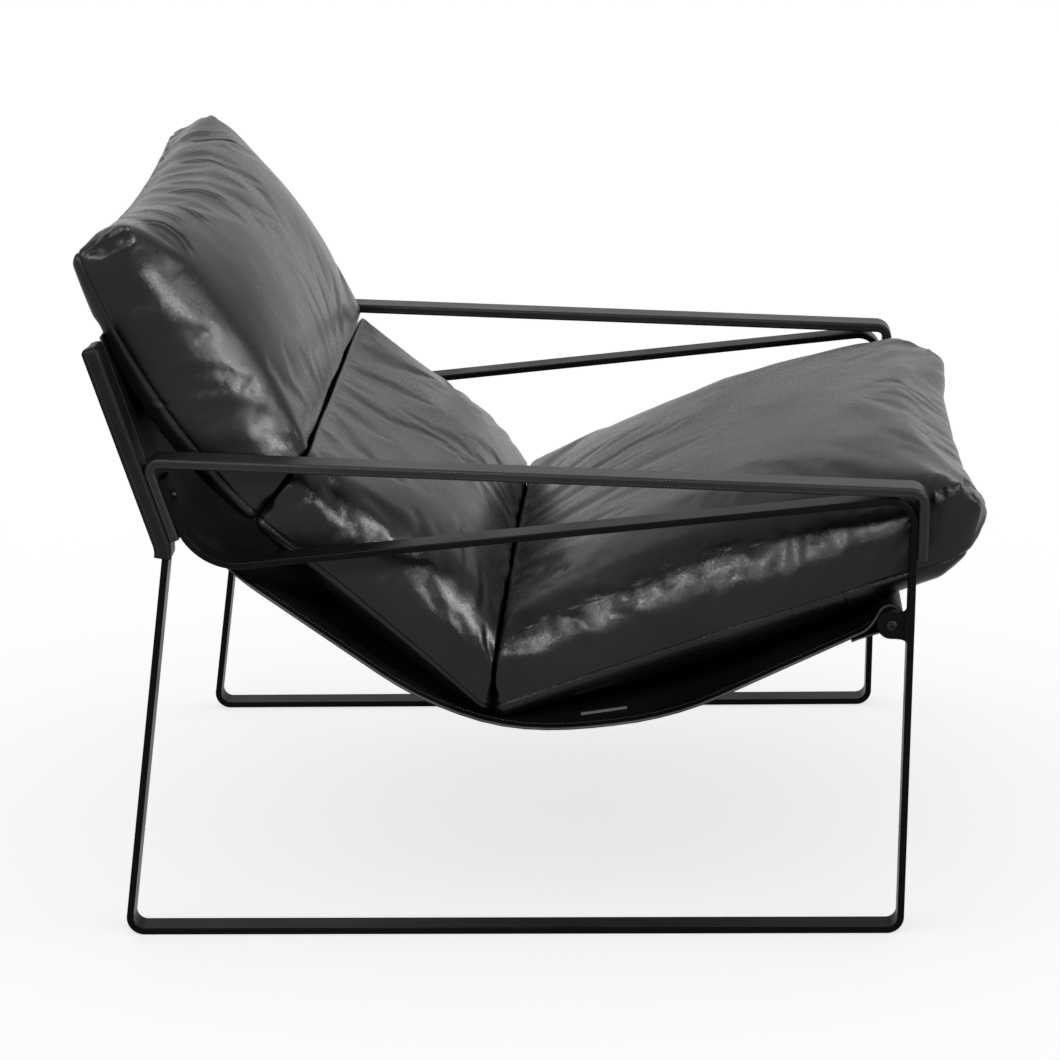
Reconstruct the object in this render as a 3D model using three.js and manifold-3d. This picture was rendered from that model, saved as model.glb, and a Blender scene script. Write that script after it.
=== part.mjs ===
// Leather sling lounge chair, as the pieces that come apart on a bench.
// Millimetres, +Z up. The chair faces +X and its side frames stand at -Y and +Y.
// Profiles are drawn in the side view, with x forward from the rear foot and z up from the floor.
import * as THREE from 'three';
import { mergeVertices } from 'three/addons/utils/BufferGeometryUtils.js';
import Module from 'manifold-3d';

const wasm = await Module();
wasm.setup();

// Clearances
const GAP = 0.3;
const CUT_OVERRUN = 3;
const CUT_REACH = 400;

// Side frames: each is one flat bar, bent edge to edge
const FRAME_WIDTH = 700;
const BAR_WIDTH = 28;
const BAR_THICK = 7;
const SKID_LENGTH = 803;
const REAR_BEND_AHEAD = 63;
const REAR_BEND_HEIGHT = 418;
const UPRIGHT_HEIGHT = 195;
const UPRIGHT_SETBACK = 58.5;
const DIAGONAL_REAR_DROP = 18.5;
const DIAGONAL_RISE = 68;
const UPTURN_HEIGHT = 92;
const FRONT_CORNER_AHEAD = 11;
const REAR_BEND_RADIUS = 34;
const FOOT_RADIUS = 18;
const FRONT_CORNER_RADIUS = 28;
const UPTURN_RADIUS = 58;

// Arms: a staple of the same bar, sewn into leather
const ARM_LEATHER = 1.3;
const ARM_OVER_UPTURN = 20.5;
const ARM_OVER_CORNER = 5.5;
const ARM_REAR_DROP = 86;
const ARM_FRONT_DROP = 72;
const ARM_REAR_RADIUS = 13;
const ARM_FRONT_RADIUS = 16;

// Sling: a seat and back panel, with a sewn sleeve on each upright
const SLING_LEATHER = 1.8;
const SLING_THICK = 2.4;
const SLEEVE_SEAM = 5.5;
const SLEEVE_OVERTOP = 9;
const SLEEVE_UNDERLAP = 1.5;
const SLING_REAR_FALL_SHARE = 0.74;
const SLING_FRONT_RISE_SHARE = 0.47;
const SLING_REAR_RADIUS = 60;
const SLING_LOW_RADIUS = 341;
const SLING_REAR_CLEAR = 18;
const SLING_RAIL_PASS = 3.6;

// Front rail, its end plugs, its brackets and the rear crossbar
const RAIL_RADIUS = 11;
const RAIL_WALL = 2;
const RAIL_DROP = 135.5;
const RAIL_SETBACK = 15.5;
const PLUG_LENGTH = 16;
const BRACKET_INSET = 4.5;
const BRACKET_THICK = 6;
const BRACKET_LOBE = 14.6;
const BRACKET_FOOT = 20;
const BRACKET_HEAD = 21;
const BRACKET_SCALLOP = 7;
const CROSSBAR_THICK = 6;
const CROSSBAR_HEIGHT = 25;
const CROSSBAR_RISE = 20;

// Socket button bolts
const BOLT_RADIUS = 3;
const BOLT_HEAD_RADIUS = 5.5;
const BOLT_HEAD_HEIGHT = 3.4;
const BOLT_HEAD_CROWN = 1.2;
const SOCKET_RADIUS = 2.2;
const SOCKET_DEPTH = 2;
const ARM_BOLT_DROP = 27.5;
const ARM_SCREW_DROP = 34.5;
const BOLT_END_CLEAR = 1.5;

// Cushions: corners are set off from the frame points that carry them
const CUSHION_SIDE_CLEAR = 2;
const CUSHION_GAP = 0.6;
const HEAD_CUSHION = {
  topRearBehind: 25, topRearRise: 101, topFrontAhead: 38, topFrontRise: 134,
  frontCrown: 42, rearCrown: 44, endSwell: 6, endDraw: 20, drawIn: 12,
};
const LUMBAR_JOINT = { rearAhead: 82, rearFall: 4, frontAhead: 140, frontRise: 66 };
const BACK_CUSHION = { frontCrown: 30, rearCrown: 44, endSwell: 0, endDraw: 0, drawIn: 11 };
const SEAT_JOINT = { rearBehind: 53, rearRise: 55, frontBehind: 40, frontRise: 158 };
const SEAT_CUSHION = {
  lowAhead: 60, lowRise: 51, topAhead: 78, topRise: 145,
  frontCrown: 50, rearCrown: 52, endSwell: 32, endDraw: 16, drawIn: 12,
};

// Mesh steps and unit shares
const ARC_STEP_ANGLE = Math.PI / 20;
const ROUND_SIDES = 24;
const BOLT_SIDES = 16;
const SOCKET_SIDES = 6;
const CUSHION_CELLS = { length: 14, width: 16, thick: 4 };
const SHARPNESS_SHARE = 22;

// Finishes
const powderCoat = { color: 0x1b1b1d, roughness: 0.45, metalness: 0.55 };
const zincBolt = { color: 0x55565a, roughness: 0.35, metalness: 0.9 };
const slingLeather = { color: 0x141416, roughness: 0.5, metalness: 0 };
const armLeather = { color: 0x1d1d20, roughness: 0.42, metalness: 0 };
const cushionLeather = { color: 0x1a1a1d, roughness: 0.36, metalness: 0 };

// Solids
const point = (x, z) => new THREE.Vector2(x, z);

function toSolid(geometry) {
  const bare = geometry.clone();
  bare.deleteAttribute('normal');
  bare.deleteAttribute('uv');
  const merged = mergeVertices(bare, GAP / 1000);
  const vertProperties = new Float32Array(merged.attributes.position.array);
  const triVerts = new Uint32Array(merged.index.array);
  return new wasm.Manifold(new wasm.Mesh({ numProp: 3, vertProperties, triVerts }));
}

function toGeometry(solid) {
  const mesh = solid.getMesh();
  const geometry = new THREE.BufferGeometry();
  geometry.setAttribute('position', new THREE.BufferAttribute(new Float32Array(mesh.vertProperties), 3));
  geometry.setIndex(new THREE.BufferAttribute(new Uint32Array(mesh.triVerts), 1));
  geometry.computeVertexNormals();
  return geometry;
}

function cut(geometry, ...cutters) {
  let solid = toSolid(geometry);
  for (const cutter of cutters) {
    solid = solid.subtract(toSolid(cutter));
  }
  return toGeometry(solid);
}

function join(first, second) {
  return toGeometry(toSolid(first).add(toSolid(second)));
}

// A side-view outline, pushed across the chair from yStart to yEnd.
function across(outline, yStart, yEnd) {
  const shape = Array.isArray(outline) ? new THREE.Shape(outline) : outline;
  const geometry = new THREE.ExtrudeGeometry(shape, { depth: yEnd - yStart, bevelEnabled: false });
  geometry.rotateX(Math.PI / 2);
  geometry.translate(0, yEnd, 0);
  return geometry;
}

function makeMesh(name, geometry, finish) {
  const mesh = new THREE.Mesh(geometry, new THREE.MeshStandardMaterial(finish));
  mesh.name = name;
  return mesh;
}

// Bent strips in the side view
function direction(from, to) {
  return to.clone().sub(from).normalize();
}

const leftOf = (heading) => point(-heading.y, heading.x);
const towards = (from, to, distance) => from.clone().addScaledVector(direction(from, to), distance);
const offset = (anchor, ahead, rise) => point(anchor.x + ahead, anchor.y + rise);

function crossing(a, headingA, b, headingB) {
  const between = b.clone().sub(a);
  const along = between.cross(headingB) / headingA.cross(headingB);
  return a.clone().addScaledVector(headingA, along);
}

// The same line of corners, moved sideways to its left.
function sideStep(corners, distance) {
  const headings = corners.slice(1).map((corner, i) => direction(corners[i], corner));
  return corners.map((corner, i) => {
    const before = headings[Math.max(i - 1, 0)];
    const after = headings[Math.min(i, headings.length - 1)];
    const a = corner.clone().addScaledVector(leftOf(before), distance);
    if (Math.abs(before.cross(after)) < Number.EPSILON) {
      return a;
    }
    const b = corner.clone().addScaledVector(leftOf(after), distance);
    return crossing(a, before, b, after);
  });
}

function turnAt(before, corner, after) {
  const arriving = direction(before, corner);
  const leaving = direction(corner, after);
  return Math.atan2(arriving.cross(leaving), arriving.dot(leaving));
}

// How far along each side of a corner its rounding reaches.
const tangentLength = (turn, radius) => radius * Math.tan(Math.abs(turn) / 2);

// A line of corners with each inner corner turned to its radius.
function rounded(corners, radii) {
  const line = [corners[0].clone()];
  for (let i = 1; i < corners.length - 1; i += 1) {
    const arriving = direction(corners[i - 1], corners[i]);
    const turn = turnAt(corners[i - 1], corners[i], corners[i + 1]);
    const radius = radii[i - 1];
    const start = corners[i].clone().addScaledVector(arriving, -tangentLength(turn, radius));
    const centre = start.clone().addScaledVector(leftOf(arriving), radius * Math.sign(turn));
    const steps = Math.ceil(Math.abs(turn) / ARC_STEP_ANGLE);
    for (let step = 0; step <= steps; step += 1) {
      line.push(start.clone().rotateAround(centre, (turn * step) / steps));
    }
  }
  line.push(corners[corners.length - 1].clone());
  return line;
}

// The outline of a bent strip between two sideways distances from a line of corners.
function strip(corners, radii, near, far) {
  const edge = (distance) => {
    const moved = sideStep(corners, distance);
    const turned = radii.map((radius, i) => {
      const turn = turnAt(corners[i], corners[i + 1], corners[i + 2]);
      return radius - distance * Math.sign(turn);
    });
    return rounded(moved, turned);
  };
  return [...edge(near), ...edge(far).reverse()];
}

// The same line of corners with both ends run on.
function runOn(corners, atStart, atEnd) {
  const longer = corners.map((corner) => corner.clone());
  const last = corners.length - 1;
  longer[0].addScaledVector(direction(corners[1], corners[0]), atStart);
  longer[last].addScaledVector(direction(corners[last - 1], corners[last]), atEnd);
  return longer;
}

// Places that the pieces share: every height follows the rear bend's
const halfFrame = FRAME_WIDTH / 2;
const diagonalRearHeight = REAR_BEND_HEIGHT - DIAGONAL_REAR_DROP;
const frontCornerHeight = diagonalRearHeight + DIAGONAL_RISE;
const upturnTopHeight = diagonalRearHeight + UPTURN_HEIGHT;
const armRearHeight = upturnTopHeight + ARM_OVER_UPTURN;
const armFrontHeight = frontCornerHeight + ARM_OVER_CORNER;
const railHeight = frontCornerHeight - RAIL_DROP;
const rearFoot = point(0, 0);
const rearBend = point(REAR_BEND_AHEAD, REAR_BEND_HEIGHT);
const uprightTop = point(REAR_BEND_AHEAD - UPRIGHT_SETBACK, REAR_BEND_HEIGHT + UPRIGHT_HEIGHT);
const frontFoot = point(SKID_LENGTH, 0);
const frontCorner = point(SKID_LENGTH + FRONT_CORNER_AHEAD, frontCornerHeight);
const uprightHeading = direction(rearBend, uprightTop);
const uprightForward = leftOf(uprightHeading).negate();
const legHeading = direction(frontFoot, frontCorner);
const legForward = leftOf(legHeading).negate();

// What is bolted in front of the upright, by distance from the upright's rear face
const sleeveFront = BAR_THICK + GAP + SLING_LEATHER;
const armSkinRear = sleeveFront + GAP;
const armBarRear = armSkinRear + ARM_LEATHER + GAP;
const armBarFront = armBarRear + BAR_THICK;
const upturnRear = armBarFront + GAP + ARM_LEATHER + GAP;
const upturnFront = upturnRear + BAR_THICK;
// What is screwed in front of the front leg, by distance from the leg's front face
const armDropRear = GAP + ARM_LEATHER + GAP;
const armDropFront = armDropRear + BAR_THICK;

function stackPoint(distance, height) {
  const foot = rearBend.clone().addScaledVector(uprightForward, distance);
  return foot.addScaledVector(uprightHeading, (height - foot.y) / uprightHeading.y);
}

function legPoint(distance, height) {
  const foot = frontFoot.clone().addScaledVector(legForward, distance);
  return foot.addScaledVector(legHeading, (height - foot.y) / legHeading.y);
}

const railCentre = legPoint(-BAR_THICK - RAIL_SETBACK, railHeight);
const armBoltHeight = upturnTopHeight - ARM_BOLT_DROP;
const armScrewHeight = frontCornerHeight - ARM_SCREW_DROP;

// Fasteners: a button head with a socket, its axis along +Y before it is placed
function boltGeometry(shankLength) {
  const profile = [
    new THREE.Vector2(0, -shankLength),
    new THREE.Vector2(BOLT_RADIUS, -shankLength),
    new THREE.Vector2(BOLT_RADIUS, 0),
    new THREE.Vector2(BOLT_HEAD_RADIUS, 0),
    new THREE.Vector2(BOLT_HEAD_RADIUS, BOLT_HEAD_HEIGHT - BOLT_HEAD_CROWN),
    new THREE.Vector2(BOLT_HEAD_RADIUS - BOLT_HEAD_CROWN, BOLT_HEAD_HEIGHT),
    new THREE.Vector2(0, BOLT_HEAD_HEIGHT),
  ];
  const body = new THREE.LatheGeometry(profile, BOLT_SIDES);
  const socketHeight = SOCKET_DEPTH + CUT_OVERRUN;
  const socket = new THREE.CylinderGeometry(SOCKET_RADIUS, SOCKET_RADIUS, socketHeight, SOCKET_SIDES);
  socket.translate(0, BOLT_HEAD_HEIGHT - SOCKET_DEPTH + socketHeight / 2, 0);
  return cut(body, socket);
}

const spaceVector = (flat, y = 0) => new THREE.Vector3(flat.x, y, flat.y);

function placeBolt(mesh, seat, outward) {
  mesh.position.copy(seat);
  mesh.quaternion.setFromUnitVectors(new THREE.Vector3(0, 1, 0), outward);
  return mesh;
}

// A clear hole for a bolt, from start to end.
function boltHole(start, end) {
  const axis = end.clone().sub(start);
  const radius = BOLT_RADIUS + GAP;
  const hole = new THREE.CylinderGeometry(radius, radius, axis.length(), BOLT_SIDES);
  const turn = new THREE.Quaternion().setFromUnitVectors(new THREE.Vector3(0, 1, 0), axis.normalize());
  hole.applyQuaternion(turn);
  hole.translate(...start.clone().add(end).multiplyScalar(1 / 2).toArray());
  return hole;
}

// The bar's own width runs inward from the frame's outside face: side is -1 or 1.
function barSpan(side, outside, inside) {
  const outer = side * (halfFrame + outside);
  const inner = side * (halfFrame - BAR_WIDTH - inside);
  return [Math.min(outer, inner), Math.max(outer, inner)];
}

const barMiddle = (side) => side * (halfFrame - BAR_WIDTH / 2);

// Places on a bolt's axis, by distance from the face that its stack is measured from
function onArmBolt(side, distance) {
  const axisFoot = spaceVector(stackPoint(0, armBoltHeight), barMiddle(side));
  return axisFoot.addScaledVector(spaceVector(uprightForward), distance);
}

function onArmScrew(side, distance) {
  const axisFoot = spaceVector(legPoint(0, armScrewHeight), barMiddle(side));
  return axisFoot.addScaledVector(spaceVector(legForward), distance);
}

const armBoltHole = (side, from, to) => boltHole(onArmBolt(side, from), onArmBolt(side, to));

function armScrewHole(side) {
  const start = onArmScrew(side, -BAR_THICK - CUT_OVERRUN);
  return boltHole(start, onArmScrew(side, armDropFront - BOLT_END_CLEAR));
}

// Side frame
function sideFrame(side) {
  const upturnFoot = stackPoint(upturnFront, diagonalRearHeight);
  const upturnTop = stackPoint(upturnFront, upturnTopHeight);
  const corners = [uprightTop, rearBend, rearFoot, frontFoot, frontCorner, upturnFoot, upturnTop];
  const radii = [REAR_BEND_RADIUS, FOOT_RADIUS, FOOT_RADIUS, FRONT_CORNER_RADIUS, UPTURN_RADIUS];
  const bar = across(strip(corners, radii, 0, BAR_THICK), ...barSpan(side, 0, 0));
  const armBolt = armBoltHole(side, -CUT_OVERRUN, upturnFront + CUT_OVERRUN);
  return cut(bar, armBolt, armScrewHole(side));
}

// Arm bar and its leather
function armCorners() {
  return [
    stackPoint(armBarRear, armRearHeight - ARM_REAR_DROP),
    stackPoint(armBarRear, armRearHeight),
    legPoint(armDropFront, armFrontHeight),
    legPoint(armDropFront, armFrontHeight - ARM_FRONT_DROP),
  ];
}

const armRadii = [ARM_REAR_RADIUS, ARM_FRONT_RADIUS];

function armBar(side) {
  const bar = across(strip(armCorners(), armRadii, 0, -BAR_THICK), ...barSpan(side, 0, 0));
  const armBolt = armBoltHole(side, armSkinRear - CUT_OVERRUN, upturnRear + CUT_OVERRUN);
  return cut(bar, armBolt, armScrewHole(side));
}

function armSkin(side) {
  const skin = GAP + ARM_LEATHER;
  const outline = strip(armCorners(), armRadii, skin, -BAR_THICK - skin);
  const longer = runOn(armCorners(), CUT_OVERRUN, CUT_OVERRUN);
  const hollow = strip(longer, armRadii, GAP, -BAR_THICK - GAP);
  return cut(
    across(outline, ...barSpan(side, skin, skin)),
    across(hollow, ...barSpan(side, GAP, GAP)),
    armBoltHole(side, armSkinRear - CUT_OVERRUN, upturnRear + CUT_OVERRUN),
    armScrewHole(side),
  );
}

// Sling sleeve: open at both ends, with its seam behind the upright
function slingSleeve(side) {
  const skin = GAP + SLING_LEATHER;
  const bendEnd = tangentLength(turnAt(uprightTop, rearBend, rearFoot), REAR_BEND_RADIUS);
  const legStub = towards(rearBend, rearFoot, bendEnd + SLEEVE_UNDERLAP);
  const corners = runOn([uprightTop, rearBend, legStub], SLEEVE_OVERTOP, 0);
  const longer = runOn(corners, CUT_OVERRUN, CUT_OVERRUN);
  const outline = strip(corners, [REAR_BEND_RADIUS], -skin - SLEEVE_SEAM, BAR_THICK + skin);
  const hollow = strip(longer, [REAR_BEND_RADIUS], -GAP, BAR_THICK + GAP);
  const notchTop = towards(rearBend, uprightTop, CROSSBAR_RISE + CROSSBAR_HEIGHT);
  const notchFoot = towards(rearBend, uprightTop, -CUT_REACH);
  const notch = strip([notchTop, notchFoot], [], -skin - SLEEVE_SEAM - CUT_OVERRUN, BAR_THICK + GAP);
  const inner = side * (halfFrame - BAR_WIDTH);
  const notchSpan = [inner, inner - side * (skin + CUT_OVERRUN)].sort((a, b) => a - b);
  return cut(
    across(outline, ...barSpan(side, skin, skin)),
    across(hollow, ...barSpan(side, GAP, GAP)),
    across(notch, ...notchSpan),
    armBoltHole(side, BAR_THICK / 2, upturnRear),
  );
}

// Sling panel: a line of corners along its under face, from the top edge to the front rail
const slingHalf = halfFrame - BAR_WIDTH - GAP - SLING_LEATHER - GAP;

function slingCorners() {
  const rearLine = stackPoint(BAR_THICK + GAP, REAR_BEND_HEIGHT);
  const top = stackPoint(BAR_THICK + GAP, uprightTop.y + SLEEVE_OVERTOP);
  const falling = point(1, -SLING_REAR_FALL_SHARE).normalize();
  const rising = point(1, SLING_FRONT_RISE_SHARE).normalize();
  const rearTurn = stackPoint(BAR_THICK + GAP, REAR_BEND_HEIGHT + SLING_REAR_CLEAR);
  const underRail = railCentre.clone().addScaledVector(leftOf(rising), -SLING_RAIL_PASS);
  const low = crossing(rearTurn, falling, underRail, rising);
  return [top, crossing(rearLine, uprightHeading, rearTurn, falling), low, underRail];
}

const slingRadii = [SLING_REAR_RADIUS, SLING_LOW_RADIUS];
const loopInner = RAIL_RADIUS + GAP;
const loopOuter = loopInner + SLING_THICK;

function discShape(radius) {
  const shape = new THREE.Shape();
  shape.absarc(railCentre.x, railCentre.y, radius, 0, Math.PI * 2);
  return new THREE.Shape(shape.getPoints(ROUND_SIDES / 2));
}

function slingPanel() {
  const panel = across(strip(slingCorners(), slingRadii, 0, SLING_THICK), -slingHalf, slingHalf);
  const loop = across(discShape(loopOuter), -slingHalf, slingHalf);
  const railSpace = across(discShape(loopInner), -slingHalf - CUT_OVERRUN, slingHalf + CUT_OVERRUN);
  return cut(join(panel, loop), railSpace);
}

// Everything under and behind the sling's upper face, which no cushion enters.
function slingShadow() {
  const corners = slingCorners();
  const upper = strip(corners, slingRadii, 0, SLING_THICK + GAP);
  const face = upper.slice(upper.length / 2).reverse();
  const first = face[0];
  const last = face[face.length - 1];
  const outline = [
    point(first.x - CUT_REACH, first.y),
    ...face,
    point(last.x, last.y - CUT_REACH),
    point(first.x - CUT_REACH, last.y - CUT_REACH),
  ];
  return across(outline, -halfFrame, halfFrame);
}

function loopShadow() {
  return across(discShape(loopOuter + GAP), -halfFrame, halfFrame);
}

// Front rail with its plugs and brackets
const railEnd = halfFrame - BRACKET_INSET - BRACKET_THICK - GAP;

function tube(outerRadius, innerRadius, length) {
  const bore = new THREE.CylinderGeometry(innerRadius, innerRadius, length + CUT_OVERRUN, ROUND_SIDES);
  return cut(new THREE.CylinderGeometry(outerRadius, outerRadius, length, ROUND_SIDES), bore);
}

function frontRail() {
  const rail = tube(RAIL_RADIUS, RAIL_RADIUS - RAIL_WALL, 2 * railEnd);
  const mesh = makeMesh('front_rail', rail, powderCoat);
  mesh.position.copy(spaceVector(railCentre));
  return mesh;
}

function railPlug(name, side) {
  const plug = tube(RAIL_RADIUS - RAIL_WALL - GAP, BOLT_RADIUS + GAP, PLUG_LENGTH);
  const mesh = makeMesh(name, plug, zincBolt);
  mesh.position.copy(spaceVector(railCentre, side * (railEnd - PLUG_LENGTH / 2)));
  return mesh;
}

function frontBracket(side) {
  const legFoot = legPoint(-BAR_THICK - GAP, railHeight - BRACKET_FOOT);
  const legHead = legPoint(-BAR_THICK - GAP, railHeight + BRACKET_HEAD);
  const shape = new THREE.Shape();
  shape.moveTo(legHead.x, legHead.y);
  shape.quadraticCurveTo(
    legHead.x,
    railCentre.y + BRACKET_LOBE - BRACKET_SCALLOP,
    railCentre.x,
    railCentre.y + BRACKET_LOBE,
  );
  shape.absarc(railCentre.x, railCentre.y, BRACKET_LOBE, Math.PI / 2, (Math.PI * 3) / 2);
  shape.quadraticCurveTo(legFoot.x, railCentre.y - BRACKET_LOBE, legFoot.x, legFoot.y);
  const outline = new THREE.Shape(shape.getPoints(ROUND_SIDES / 2));
  const ends = [side * (halfFrame - BRACKET_INSET), side * (halfFrame - BRACKET_INSET - BRACKET_THICK)];
  const span = ends.sort((a, b) => a - b);
  const hole = boltHole(
    spaceVector(railCentre, span[0] - CUT_OVERRUN),
    spaceVector(railCentre, span[1] + CUT_OVERRUN),
  );
  return cut(across(outline, ...span), hole);
}

// Rear crossbar, welded between the uprights behind the sling
function rearCrossbar() {
  const length = FRAME_WIDTH - 2 * (BAR_WIDTH + GAP);
  const block = new THREE.BoxGeometry(CROSSBAR_THICK, length, CROSSBAR_HEIGHT);
  const bar = makeMesh('rear_crossbar', block, powderCoat);
  const centre = rearBend
    .clone()
    .addScaledVector(uprightForward, BAR_THICK / 2)
    .addScaledVector(uprightHeading, CROSSBAR_RISE);
  bar.position.copy(spaceVector(centre));
  bar.rotation.y = Math.atan2(uprightHeading.x, uprightHeading.y);
  return bar;
}

// Cushions: a boxed pad with a crown on both faces and its sides drawn in between the corners.
// Corners run: low start, low end, high end, high start; the rear face of a back pad is its low face.
function cushionGeometry(corners, form) {
  const { length, width, thick } = CUSHION_CELLS;
  const pad = new THREE.BoxGeometry(1, 1, 1, length, width, thick);
  const halfWidth = slingHalf - CUSHION_SIDE_CLEAR;
  const [lowStart, lowEnd, highEnd, highStart] = corners;
  const upward = highStart.clone().add(highEnd).sub(lowStart).sub(lowEnd).normalize();
  const onward = lowEnd.clone().add(highEnd).sub(lowStart).sub(highStart).normalize();
  const places = pad.attributes.position;
  for (let i = 0; i < places.count; i += 1) {
    const raw = [places.getX(i), places.getY(i), places.getZ(i)].map((share) => 2 * share);
    const sum = raw.reduce((total, share) => total + Math.abs(share) ** SHARPNESS_SHARE, 0);
    const [u, v, w] = raw.map((share) => share / sum ** (1 / SHARPNESS_SHARE));
    const low = lowStart.clone().lerp(lowEnd, (u + 1) / 2);
    const place = low.lerp(highStart.clone().lerp(highEnd, (u + 1) / 2), (w + 1) / 2);
    const fullness = (1 - u ** 2) * (1 - v ** 4);
    const crown = w > 0 ? form.frontCrown : form.rearCrown;
    place.addScaledVector(upward, crown * w * fullness);
    const endShare = Math.max(u * form.swellEnd, 0);
    const swell = form.endSwell * endShare ** 6 * (1 - w ** 2) ** 2;
    const draw = form.endDraw * endShare ** 4 * (1 - v ** 2);
    place.addScaledVector(onward, (swell - draw) * form.swellEnd);
    const sideways = v * (halfWidth - form.drawIn * (1 - u ** 2) * Math.abs(v) ** 3);
    places.setXYZ(i, place.x, sideways, place.y);
  }
  return pad;
}

function cushions() {
  const [, rearTurn, low] = slingCorners();
  const half = CUSHION_GAP / 2;
  const headTopRear = offset(uprightTop, -HEAD_CUSHION.topRearBehind, HEAD_CUSHION.topRearRise);
  const headTopFront = offset(uprightTop, HEAD_CUSHION.topFrontAhead, HEAD_CUSHION.topFrontRise);
  const lumbarRear = offset(rearTurn, LUMBAR_JOINT.rearAhead, -LUMBAR_JOINT.rearFall);
  const lumbarFront = offset(rearTurn, LUMBAR_JOINT.frontAhead, LUMBAR_JOINT.frontRise);
  const creaseLow = offset(low, -SEAT_JOINT.rearBehind, SEAT_JOINT.rearRise);
  const creaseTop = offset(low, -SEAT_JOINT.frontBehind, SEAT_JOINT.frontRise);
  const seatLow = offset(railCentre, SEAT_CUSHION.lowAhead, SEAT_CUSHION.lowRise);
  const seatTop = offset(railCentre, SEAT_CUSHION.topAhead, SEAT_CUSHION.topRise);
  const head = cushionGeometry(
    [
      headTopRear,
      towards(lumbarRear, headTopRear, half),
      towards(lumbarFront, headTopFront, half),
      headTopFront,
    ],
    { ...HEAD_CUSHION, swellEnd: -1 },
  );
  const back = cushionGeometry(
    [
      towards(lumbarRear, creaseLow, half),
      towards(creaseLow, lumbarRear, half),
      towards(creaseTop, lumbarFront, half),
      towards(lumbarFront, creaseTop, half),
    ],
    { ...BACK_CUSHION, swellEnd: 1 },
  );
  const seat = cushionGeometry(
    [towards(creaseLow, seatLow, half), seatLow, seatTop, towards(creaseTop, seatTop, half)],
    { ...SEAT_CUSHION, swellEnd: 1 },
  );
  return [
    makeMesh('head_cushion', cut(head, slingShadow()), cushionLeather),
    makeMesh('back_cushion', cut(back, slingShadow()), cushionLeather),
    makeMesh('seat_cushion', cut(seat, slingShadow(), loopShadow()), cushionLeather),
  ];
}

// Fasteners in place
function sideFasteners(sideName, side) {
  const armBoltLength = upturnFront - BOLT_END_CLEAR;
  const armBolt = makeMesh(`arm_rear_bolt_${sideName}`, boltGeometry(armBoltLength), zincBolt);
  placeBolt(armBolt, onArmBolt(side, upturnFront + GAP), spaceVector(uprightForward));
  const screwLength = BAR_THICK + armDropFront - 2 * BOLT_END_CLEAR;
  const armScrew = makeMesh(`arm_front_screw_${sideName}`, boltGeometry(screwLength), zincBolt);
  placeBolt(armScrew, onArmScrew(side, -BAR_THICK - GAP), spaceVector(legForward).negate());
  const railBoltLength = BRACKET_THICK + PLUG_LENGTH - BOLT_END_CLEAR;
  const railBolt = makeMesh(`rail_bolt_${sideName}`, boltGeometry(railBoltLength), zincBolt);
  const railSeat = spaceVector(railCentre, side * (halfFrame - BRACKET_INSET + GAP));
  placeBolt(railBolt, railSeat, new THREE.Vector3(0, side, 0));
  return [armBolt, armScrew, railBolt];
}

function sidePieces(sideName, side) {
  return [
    makeMesh(`side_frame_${sideName}`, sideFrame(side), powderCoat),
    makeMesh(`arm_bar_${sideName}`, armBar(side), powderCoat),
    makeMesh(`arm_leather_${sideName}`, armSkin(side), armLeather),
    makeMesh(`sling_sleeve_${sideName}`, slingSleeve(side), slingLeather),
    makeMesh(`front_bracket_${sideName}`, frontBracket(side), powderCoat),
    railPlug(`rail_plug_${sideName}`, side),
    ...sideFasteners(sideName, side),
  ];
}

const chair = new THREE.Group();
chair.add(...sidePieces('right', -1));
chair.add(...sidePieces('left', 1));
chair.add(frontRail(), rearCrossbar(), makeMesh('sling_panel', slingPanel(), slingLeather));
chair.add(...cushions());

// The origin is on the floor, at the middle of the whole chair's length and width.
const extent = new THREE.Box3().setFromObject(chair);
chair.position.x = -(extent.min.x + extent.max.x) / 2;

export default chair;
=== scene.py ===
import math

import bmesh
import bpy
import numpy as np
from mathutils import Matrix, Vector, noise
from mathutils.bvhtree import BVHTree


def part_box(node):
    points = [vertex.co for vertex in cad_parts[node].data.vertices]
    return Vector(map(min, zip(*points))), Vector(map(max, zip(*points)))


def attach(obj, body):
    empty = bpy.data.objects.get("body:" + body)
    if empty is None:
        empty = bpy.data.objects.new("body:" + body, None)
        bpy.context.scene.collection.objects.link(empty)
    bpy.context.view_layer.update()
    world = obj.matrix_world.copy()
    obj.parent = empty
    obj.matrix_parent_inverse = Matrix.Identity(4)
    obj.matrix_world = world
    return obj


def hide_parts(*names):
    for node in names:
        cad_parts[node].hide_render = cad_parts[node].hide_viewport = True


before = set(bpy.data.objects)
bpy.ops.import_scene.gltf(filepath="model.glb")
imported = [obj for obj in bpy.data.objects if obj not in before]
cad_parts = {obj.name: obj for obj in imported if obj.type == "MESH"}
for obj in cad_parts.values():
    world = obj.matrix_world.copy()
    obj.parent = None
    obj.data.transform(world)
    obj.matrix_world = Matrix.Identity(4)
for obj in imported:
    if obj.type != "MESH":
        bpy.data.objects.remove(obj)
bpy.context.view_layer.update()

MM = 0.001

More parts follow.
